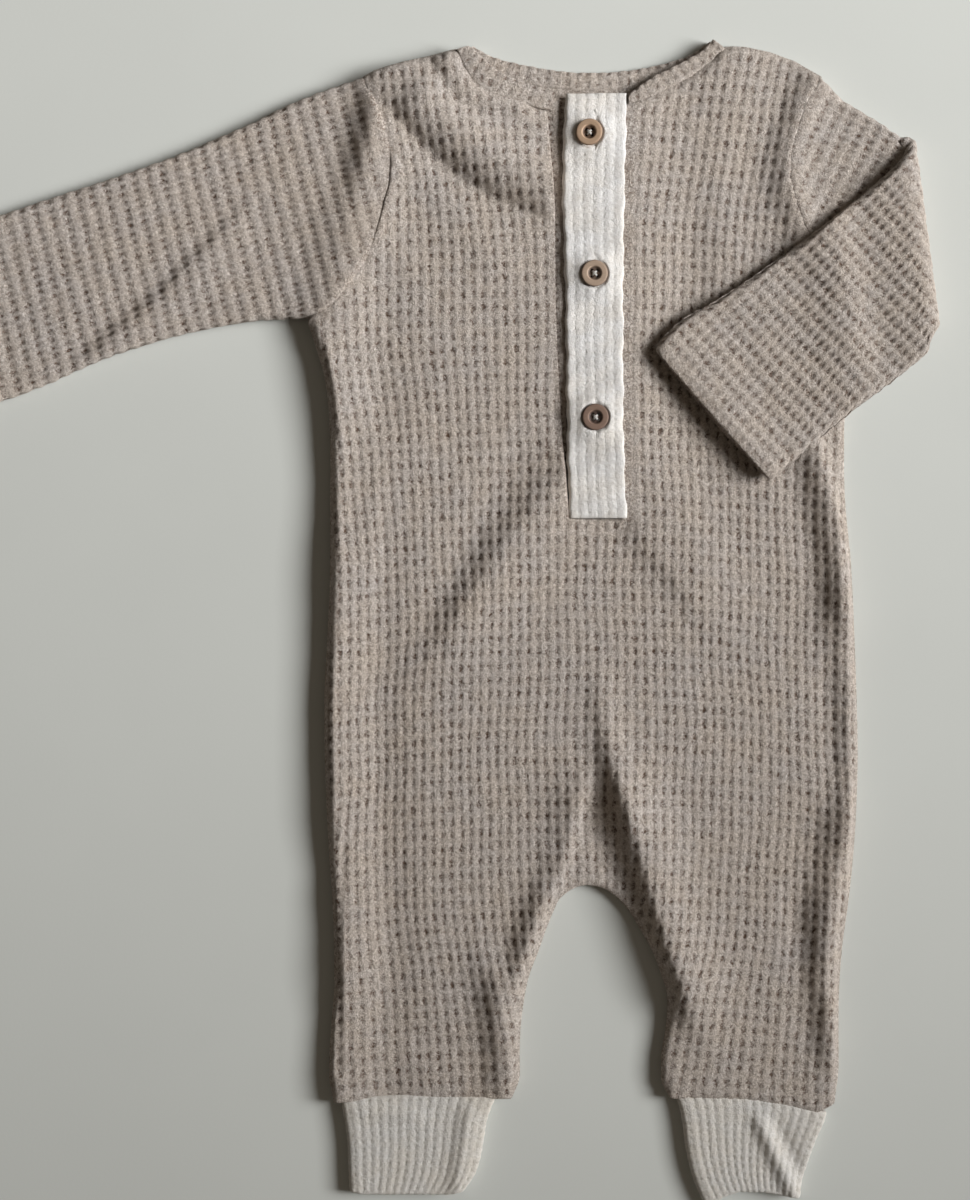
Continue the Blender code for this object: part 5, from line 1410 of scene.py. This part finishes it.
def hole_stitches():
    """Pale whipped edges of the buttonholes, where they show past the buttons.

    The lower two run straight and close at their ends as a square root; the top one gapes in a curve.
    """
    runs = []
    top = BUTTON_REST + 0.1
    for _, up, _ in BUTTONS[1:]:
        for way in (1, -1):
            for side in (-0.55, 0.55):
                levels = np.linspace(3.2, BUTTONHOLE_LENGTH / 2 + 0.9, 24)
                spread = side * np.sqrt(clamp((BUTTONHOLE_LENGTH / 2 + 1.0 - levels) / 2.0))
                path = np.stack([BUTTONHOLE_ACROSS + spread, up + way * levels, top + 0 * levels], axis=1)
                runs.append((path, *WHIP_THREAD))
    lip = numbered(np.array(HOLE_LIP) + (0.0, 0.0, top))
    runs.append((smooth_path(np.linspace(0, len(lip) - 1, 90), lip, 1, 2, 3), *WHIP_THREAD))
    return runs


# ---------------------------------------------------------------- finishes


def link(tree, value, socket):
    """Joins an output to a socket, or sets the socket to a plain value."""
    if isinstance(value, bpy.types.NodeSocket):
        tree.links.new(value, socket)
    else:
        socket.default_value = value


def set_inputs(tree, node, **values):
    """Joins or sets a node's inputs, by their labels with _ for blanks."""
    for label, value in values.items():
        link(tree, value, node.inputs[label.replace("_", " ")])


def math_node(tree, operation, *values):
    """The output of a maths node."""
    made = tree.nodes.new("ShaderNodeMath")
    made.operation = operation
    for at, value in enumerate(values):
        link(tree, value, made.inputs[at])
    return made.outputs[0]


def wave_of(tree, value):
    """A raised cosine of a number of turns: 1 at whole ones, 0 halfway."""
    turned = math_node(tree, "MULTIPLY", value, 2 * math.pi)
    return math_node(tree, "MULTIPLY_ADD", math_node(tree, "COSINE", turned), 0.5, 0.5)


def noise_of(tree, where, scale, detail=2.0, roughness=0.55, distortion=0.0):
    """A noise node's value, from 0 to 1."""
    made = tree.nodes.new("ShaderNodeTexNoise")
    given = {"Scale": scale, "Detail": detail, "Roughness": roughness, "Distortion": distortion}
    set_inputs(tree, made, Vector=where, **given)
    return made.outputs["Fac"]


def spread_of(tree, value, low, high, start=0.0, end=1.0):
    """A value brought from one span to another and held inside it."""
    made = tree.nodes.new("ShaderNodeMapRange")
    for at, number in enumerate((value, low, high, start, end)):
        link(tree, number, made.inputs[at])
    return made.outputs[0]


def mix_of(tree, share, one, other, blend="MIX"):
    """Two colours mixed by a share."""
    made = tree.nodes.new("ShaderNodeMix")
    made.data_type = "RGBA"
    made.blend_type = blend
    for socket, value in (("Factor", share), (6, one), (7, other)):
        link(tree, value, made.inputs[socket])
    return made.outputs[2]


def object_place(tree):
    """The place on the object itself."""
    return tree.nodes.new("ShaderNodeTexCoord").outputs["Object"]


def knit_place_of(tree):
    """The piece's own map: its place in the knit, or on the button."""
    made = tree.nodes.new("ShaderNodeUVMap")
    made.uv_map = "knit"
    return made.outputs[0]


def parts_of(tree, vector):
    """The three parts of a vector."""
    made = tree.nodes.new("ShaderNodeSeparateXYZ")
    tree.links.new(vector, made.inputs[0])
    return made.outputs


def off_middle(tree, value):
    """How far a value's fraction is from one half."""
    part = math_node(tree, "SUBTRACT", math_node(tree, "FRACT", value), 0.5)
    return math_node(tree, "ABSOLUTE", part)


def mark_of(tree, label):
    """A number kept at the mesh's points."""
    made = tree.nodes.new("ShaderNodeAttribute")
    made.attribute_name = label
    return made.outputs["Fac"]


def new_group(name, inputs, outputs):
    """A node group with its sockets, and its nodes for what comes in and goes out."""
    tree = bpy.data.node_groups.new(name, "ShaderNodeTree")
    for label, kind in inputs:
        tree.interface.new_socket(label, in_out="INPUT", socket_type=kind)
    for label, kind in outputs:
        tree.interface.new_socket(label, in_out="OUTPUT", socket_type=kind)
    return tree, tree.nodes.new("NodeGroupInput").outputs, tree.nodes.new("NodeGroupOutput").inputs


FLOAT, VECTOR = "NodeSocketFloat", "NodeSocketVector"


def knit_pits_group():
    """Pits of a knit: soft ovals midway between ribs and bridges, with a faint groove along each valley.

    Wide and Tall are an oval's half sizes in wales and in courses. Both the place and the depth of the
    pits waver from one to the next.
    """
    tree, given, result = new_group(
        "knit pits",
        (("Knit", VECTOR), ("Place", VECTOR), ("Wide", FLOAT), ("Tall", FLOAT)),
        (("Pit", FLOAT), ("Valley", FLOAT)),
    )
    apart = parts_of(tree, given["Knit"])
    waver = []
    for scale in (240.0, 620.0):
        made = tree.nodes.new("ShaderNodeTexNoise")
        set_inputs(tree, made, Scale=scale, Vector=given["Place"])
        parts = tree.nodes.new("ShaderNodeSeparateColor")
        tree.links.new(made.outputs["Color"], parts.inputs[0])
        waver.append([math_node(tree, "SUBTRACT", part, 0.5) for part in parts.outputs[:2]])
    off = []
    for at, (broad, fine) in enumerate(((0.45, 0.6), (0.55, 0.85))):
        moved = math_node(tree, "MULTIPLY_ADD", waver[0][at], broad, apart[at])
        off.append(off_middle(tree, math_node(tree, "MULTIPLY_ADD", waver[1][at], fine, moved)))
    wide = math_node(tree, "DIVIDE", off[0], given["Wide"])
    tall = math_node(tree, "DIVIDE", off[1], given["Tall"])
    squares = math_node(tree, "MULTIPLY_ADD", wide, wide, math_node(tree, "MULTIPLY", tall, tall))
    far = math_node(tree, "SQRT", squares)
    depth = spread_of(tree, noise_of(tree, given["Place"], 105.0, 3.0, 0.7), 0.32, 0.62, 0.35, 1.0)
    tree.links.new(math_node(tree, "MULTIPLY", spread_of(tree, far, 1.35, 0.45), depth), result["Pit"])
    tree.links.new(spread_of(tree, off[0], 0.36, 0.04), result["Valley"])
    return tree


def loops_group():
    """Height of the knitted loops: small V's in columns, a few to each wale and course."""
    tree, given, result = new_group(
        "knit loops", (("Knit", VECTOR), ("Across", FLOAT), ("Along", FLOAT)), (("Height", FLOAT),)
    )
    apart = parts_of(tree, given["Knit"])
    lean = off_middle(tree, math_node(tree, "MULTIPLY", apart[0], given["Across"]))
    slant = math_node(tree, "MULTIPLY", lean, 1.6)
    crest = wave_of(tree, math_node(tree, "MULTIPLY_ADD", apart[1], given["Along"], slant))
    groove = spread_of(tree, lean, 0.5, 0.32)
    tree.links.new(math_node(tree, "MULTIPLY", crest, groove), result["Height"])
    return tree


def fibre_group():
    """Blended fibres: fine speckle, curled flecks and soft patches, from the object's own place."""
    tree, given, result = new_group(
        "blended fibres",
        (("Place", VECTOR),),
        (("Speckle", FLOAT), ("Fleck", FLOAT), ("Curl", FLOAT), ("Patch", FLOAT), ("Cloud", FLOAT)),
    )
    for noise, spans in (
        ((820.0, 4.0, 0.85), (("Speckle", 0.37, 0.63),)),
        ((430.0, 3.0, 0.75, 2.5), (("Fleck", 0.34, 0.68), ("Curl", 0.54, 0.46))),
        ((95.0, 3.0, 0.6), (("Patch", 0.38, 0.62),)),
        ((26.0, 2.0), (("Cloud", 0.35, 0.65),)),
    ):
        value = noise_of(tree, given["Place"], *noise)
        for label, low, high in spans:
            tree.links.new(spread_of(tree, value, low, high), result[label])
    return tree


def place_group(tree, group, **values):
    """A node group set into a material, with its inputs joined or set."""
    made = tree.nodes.new("ShaderNodeGroup")
    made.node_tree = group
    set_inputs(tree, made, **values)
    return made.outputs


def new_material(name, rough, sheen, specular):
    """A material with its shader's plain values set."""
    made = bpy.data.materials.new(name)
    made.use_nodes = True
    tree = made.node_tree
    shader = tree.nodes["Principled BSDF"]
    given = {"Roughness": rough, "Sheen_Weight": sheen, "Sheen_Roughness": 0.5}
    set_inputs(tree, shader, Specular_IOR_Level=specular, **given)
    return made, tree, shader


def bump_of(tree, height, distance, strength=1.0, below=None):
    """A bump node's normal, laid on another's."""
    made = tree.nodes.new("ShaderNodeBump")
    set_inputs(tree, made, Strength=strength, Distance=distance, Height=height)
    if below is not None:
        tree.links.new(below, made.inputs["Normal"])
    return made.outputs["Normal"]


def knit_material(name, groups, tones, pits, loops, oval, grain, depth):
    """Knitted cloth: dark and pale fibres blended, with painted shade in the pits and valleys, and bumps
    for loops and fibres.

    tones are the colours of the painted shade in the pits, of the dark fibres and of the pale ones; pits
    how much painted shade the pits get; loops how many there are to a wale and a course; oval the pits'
    half sizes; grain how rough the fibres are, and depth how deep the pits look, in metres.
    """
    made, tree, shader = new_material(name, 0.95, 0.2, 0.12)
    shader.inputs["Sheen Tint"].default_value = (1.0, 0.94, 0.88, 1.0)
    pit_shade_tone, dark, pale = ((*tone, 1.0) for tone in tones)
    place, lay, seam = object_place(tree), knit_place_of(tree), mark_of(tree, "seam")
    fibres = place_group(tree, groups["fibres"], Place=place)
    pit = place_group(tree, groups["pits"], Knit=lay, Place=place, Wide=oval[0], Tall=oval[1])
    loop = place_group(tree, groups["loops"], Knit=lay, Across=loops[0], Along=loops[1])
    open_knit = math_node(tree, "SUBTRACT", 1.0, seam)
    sunk = math_node(tree, "MULTIPLY", pit["Pit"], open_knit)
    valley = math_node(tree, "MULTIPLY", pit["Valley"], open_knit)
    flecks = math_node(tree, "MULTIPLY", fibres["Fleck"], 0.4)
    fibre = math_node(tree, "MULTIPLY_ADD", fibres["Speckle"], 0.6, flecks)
    colour = mix_of(tree, fibre, dark, pale)
    patches = math_node(tree, "MULTIPLY", fibres["Patch"], 0.55)
    blend = math_node(tree, "MULTIPLY_ADD", fibres["Cloud"], 0.45, patches)
    colour = mix_of(tree, 1.0, colour, mix_of(tree, blend, WARM_TINT, COOL_TINT), "MULTIPLY")
    # Painted shade: the pits and the valleys between ribs are darkened toward the pit shade tone, as shade
    # falls in them; pale fibres crossing them lessen it.
    pit_shade = math_node(tree, "MULTIPLY", sunk, pits)
    shade = math_node(tree, "MULTIPLY_ADD", valley, VALLEY_SHADE * pits, pit_shade)
    shade = math_node(tree, "MULTIPLY", shade, spread_of(tree, fibres["Fleck"], 0.15, 0.8, 1.3, 0.3))
    stitched = math_node(tree, "MULTIPLY", fibres["Curl"], seam)
    stitched = math_node(tree, "MULTIPLY", stitched, STITCHED_SHADE * pits)
    colour = mix_of(tree, math_node(tree, "MAXIMUM", shade, stitched), colour, pit_shade_tone)
    relief = math_node(tree, "SUBTRACT", 1.0, math_node(tree, "MULTIPLY_ADD", valley, 0.5, sunk))
    first = bump_of(tree, relief, depth, 0.8)
    second = bump_of(tree, loop["Height"], 0.3 * depth, 0.6, first)
    fuzz = math_node(tree, "ADD", fibres["Speckle"], math_node(tree, "MULTIPLY", fibres["Fleck"], 1.1))
    set_inputs(tree, shader, Base_Color=colour, Normal=bump_of(tree, fuzz, 0.0003 * grain, 0.9, second))
    return made


def wood_material(name, pale, brown, deep):
    """Turned wood: fine straight grain, a darker dish, painted shade in the wells and round the edge, a
    paler rim top.
    """
    made, tree, shader = new_material(name, 0.55, 0.0, 0.35)
    pale, brown, deep = ((*tone, 1.0) for tone in (pale, brown, deep))
    lay = knit_place_of(tree)
    stretch = tree.nodes.new("ShaderNodeMapping")
    stretch.inputs["Scale"].default_value = (0.22, 2.4, 1.0)
    tree.links.new(lay, stretch.inputs["Vector"])
    grain = noise_of(tree, stretch.outputs[0], 0.9, 4.0, 0.65, 0.6)
    pore = noise_of(tree, stretch.outputs[0], 9.0, 2.0, 0.5)
    colour = mix_of(tree, spread_of(tree, grain, 0.35, 0.65), pale, brown)
    colour = mix_of(tree, math_node(tree, "MULTIPLY", spread_of(tree, pore, 0.58, 0.7), 0.4), colour, deep)
    # The dish is darkened; the wells get painted shade, as dark as the holes they stand for.
    for label, share in (("dish", 0.8), ("well", 1.0)):
        colour = mix_of(tree, math_node(tree, "MULTIPLY", mark_of(tree, label), share), colour, deep)
    # Painted shade toward the outer edge, where the button's side turns down out of the light.
    out = tree.nodes.new("ShaderNodeVectorMath")
    out.operation = "LENGTH"
    tree.links.new(lay, out.inputs[0])
    colour = mix_of(tree, spread_of(tree, out.outputs["Value"], 5.1, 5.65, 0.0, 0.65), colour, deep)
    # The flat top of the rim is paler.
    colour = mix_of(tree, math_node(tree, "MULTIPLY", mark_of(tree, "rim"), 0.25), colour, pale)
    set_inputs(tree, shader, Base_Color=colour, Normal=bump_of(tree, grain, 0.00012, 0.6))
    return made


def thread_material(name, tone):
    """Sewing thread: fine strands round a pale colour."""
    made, tree, shader = new_material(name, 0.7, 0.2, 0.3)
    strand = noise_of(tree, object_place(tree), 3800.0, 2.0, 0.6, 1.0)
    shaded = (*(0.72 * part for part in tone), 1.0)
    colour = mix_of(tree, spread_of(tree, strand, 0.35, 0.7), shaded, (*tone, 1.0))
    set_inputs(tree, shader, Base_Color=colour, Normal=bump_of(tree, strand, 0.0001, 0.7))
    return made


def floor_material(name, tone):
    """The pale surface: matt, with a faint unevenness."""
    made, tree, shader = new_material(name, 0.75, 0.0, 0.25)
    place = object_place(tree)
    cloud = noise_of(tree, place, 9.0, 3.0)
    shaded = (*(0.97 * part for part in tone), 1.0)
    colour = mix_of(tree, spread_of(tree, cloud, 0.3, 0.7), (*tone, 1.0), shaded)
    uneven = bump_of(tree, noise_of(tree, place, 700.0), 0.00004, 0.3)
    set_inputs(tree, shader, Base_Color=colour, Normal=uneven)
    return made


groups = {"pits": knit_pits_group(), "loops": loops_group(), "fibres": fibre_group()}
# Tints of the patches, then each knit's colours: the painted shade of its pits, its dark fibres and its
# pale ones
WARM_TINT = (1.03, 0.985, 0.935, 1.0)
COOL_TINT = (0.99, 0.985, 0.995, 1.0)
VALLEY_SHADE = 0.25  # how much painted shade the valleys between ribs get, as a share of the pits
STITCHED_SHADE = 0.62  # how dark the curls along the seams get, as a share of the pits
OATMEAL = ((0.15, 0.09, 0.06), (0.40, 0.335, 0.28), (0.97, 0.91, 0.86))
SLEEVE_OATMEAL = ((0.15, 0.09, 0.06), (0.37, 0.31, 0.26), (0.91, 0.85, 0.80))
# The cuffs' cream is a darker copy of the placket's cream: painted shade for the light that is weaker
# toward the bottom.
SHADED_CUFF_CREAM = ((0.40, 0.36, 0.30), (0.68, 0.66, 0.61), (0.88, 0.87, 0.845))
CREAM = ((0.52, 0.50, 0.45), (0.81, 0.80, 0.775), (0.97, 0.975, 0.975))
waffle_knit, sleeve_knit, rib_knit, shaded_cuff_knit = (
    knit_material(name, groups, tones, pits, loops, oval, grain, depth)
    for name, tones, pits, loops, oval, grain, depth in (
        ("oatmeal waffle knit", OATMEAL, 0.8, (2.0, 4.0), (0.23, 0.3), 1.35, 0.0005),
        ("oatmeal waffle knit of the sleeves", SLEEVE_OATMEAL, 0.75, (3.0, 2.5), (0.2, 0.3), 1.35, 0.0005),
        ("cream rib knit", CREAM, 0.2, (2.0, 3.0), (0.15, 0.3), 0.45, 0.00014),
        ("cream rib knit of the cuffs", SHADED_CUFF_CREAM, 0.3, (2.0, 3.0), (0.15, 0.3), 0.6, 0.00014),
    )
)
# Each wood's pale and brown tones, and a deep tone for its pores and dish that also gives the painted shade
# of its wells and outer edge.
woods = (
    wood_material("pale turned wood", (0.60, 0.42, 0.29), (0.50, 0.34, 0.23), (0.075, 0.04, 0.028)),
    wood_material("greyed turned wood", (0.48, 0.36, 0.27), (0.38, 0.28, 0.21), (0.06, 0.035, 0.026)),
    wood_material("brown turned wood", (0.27, 0.18, 0.135), (0.20, 0.13, 0.10), (0.04, 0.024, 0.02)),
)
white_thread = thread_material("white sewing thread", (0.86, 0.84, 0.80))
floor_paint = floor_material("pale surface", (0.70, 0.72, 0.69))

# ---------------------------------------------------------------- building

front_faces, back_faces = (front_top, front_bottom, front_seams), (back_bottom, back_top, back_seams)
front = cloth_panel("front_body_cloth", FRONT_OUTLINE, False, *front_faces, waffle_knit)
back = cloth_panel("back_body_cloth", BACK_OUTLINE, True, *back_faces, waffle_knit)
right_sleeve = make_right_sleeve(sleeve_knit)
left_sleeve = make_left_sleeve(sleeve_knit)
right_cuff, left_cuff = (
    make_cuff(f"{side}_ankle_cuff_cloth", *cut, shaded_cuff_knit)
    for side, *cut in (
        ("right", RIGHT_CUFF_EDGES, RIGHT_CUFF_END, RIGHT_CUFF_FOLDS),
        ("left", LEFT_CUFF_EDGES, LEFT_CUFF_END, LEFT_CUFF_FOLDS),
    )
)
back_binding, right_binding, left_binding = (
    make_binding(f"neck_binding_{side}_cloth", table, panel_top, waffle_knit)
    for side, table, panel_top in (
        ("back", BACK_BINDING, BACK_TOP),
        ("right", RIGHT_BINDING, FRONT_TOP),
        ("left", LEFT_BINDING, FRONT_TOP),
    )
)
placket_top = make_placket_top(rib_knit)
placket_under = make_placket_under(rib_knit, waffle_knit)
buttons = [
    make_button(f"button_{number}_wood", place, woods[number - 1])
    for number, place in enumerate(BUTTONS, start=1)
]
threads = [
    make_threads(f"button_{number}_thread", cross_threads(place), white_thread)
    for number, place in enumerate(BUTTONS, start=1)
]
stitches = make_threads("buttonhole_stitches", hole_stitches(), white_thread)

for piece, node, slot in (
    (front, "front_body", "waffle_knit"),
    (back, "back_body", "waffle_knit"),
    (right_sleeve, "right_sleeve", "waffle_knit"),
    (left_sleeve, "left_sleeve", "waffle_knit"),
    (right_cuff, "right_ankle_cuff", "rib_knit"),
    (left_cuff, "left_ankle_cuff", "rib_knit"),
    (back_binding, "neck_binding_back", "waffle_knit"),
    (right_binding, "neck_binding_right", "waffle_knit"),
    (left_binding, "neck_binding_left", "waffle_knit"),
    (placket_top, "placket_top", "rib_knit"),
    (placket_under, "placket_under", "rib_knit"),
    (buttons[0], "button_1", "button_wood"),
    (buttons[1], "button_2", "button_wood"),
    (buttons[2], "button_3", "button_wood"),
):
    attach(piece, "root")
    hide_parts(node)
for piece in (*threads, stitches):
    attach(piece, "root")

# ---------------------------------------------------------------- floor, light and camera, in metres

FLOOR_SIZE = 8.0
FLOOR_Z = -0.0001
VIEW_MIDDLE = (0.0185, 0.0093)
VIEW_HEIGHT = 0.516  # what the view holds from top to bottom, in the plane of the cloth
CAMERA_ABOVE = 0.9  # over that plane
CLOTH_Z = 0.005
SENSOR = 36.0

bpy.ops.mesh.primitive_plane_add(size=FLOOR_SIZE, location=(0.0, 0.0, FLOOR_Z))
floor = bpy.context.object
floor.name = "pale_floor"
floor.data.materials.append(floor_paint)

world = bpy.data.worlds.new("soft daylight")
world.use_nodes = True
world.node_tree.nodes["Background"].inputs["Color"].default_value = (1.0, 0.85, 0.68, 1.0)
world.node_tree.nodes["Background"].inputs["Strength"].default_value = 0.08
bpy.context.scene.world = world


def window_light(name, place, aim, size, watts, tone, spread):
    """A wide soft light at a place, turned to what it aims at, weaker away from its middle."""
    data = bpy.data.lights.new(name, "AREA")
    data.shape = "RECTANGLE"
    data.size, data.size_y = size
    data.energy = watts
    data.color = tone
    data.spread = math.radians(spread)
    lamp = bpy.data.objects.new(name, data)
    lamp.location = place
    lamp.rotation_euler = (Vector(aim) - Vector(place)).to_track_quat("-Z", "Y").to_euler()
    bpy.context.scene.collection.objects.link(lamp)


window_light("window", (2.09, 0.85, 1.24), (-0.5, 1.0, 0.0), (2.4, 1.0), 24.3, (1.0, 0.998, 0.99), 60.0)

camera_data = bpy.data.cameras.new("camera")
camera_data.lens = SENSOR * CAMERA_ABOVE / VIEW_HEIGHT
camera = bpy.data.objects.new("camera", camera_data)
camera.location = (*VIEW_MIDDLE, CAMERA_ABOVE + CLOTH_Z)
bpy.context.scene.collection.objects.link(camera)
bpy.context.scene.camera = camera
bpy.context.scene.view_settings.view_transform = "Standard"
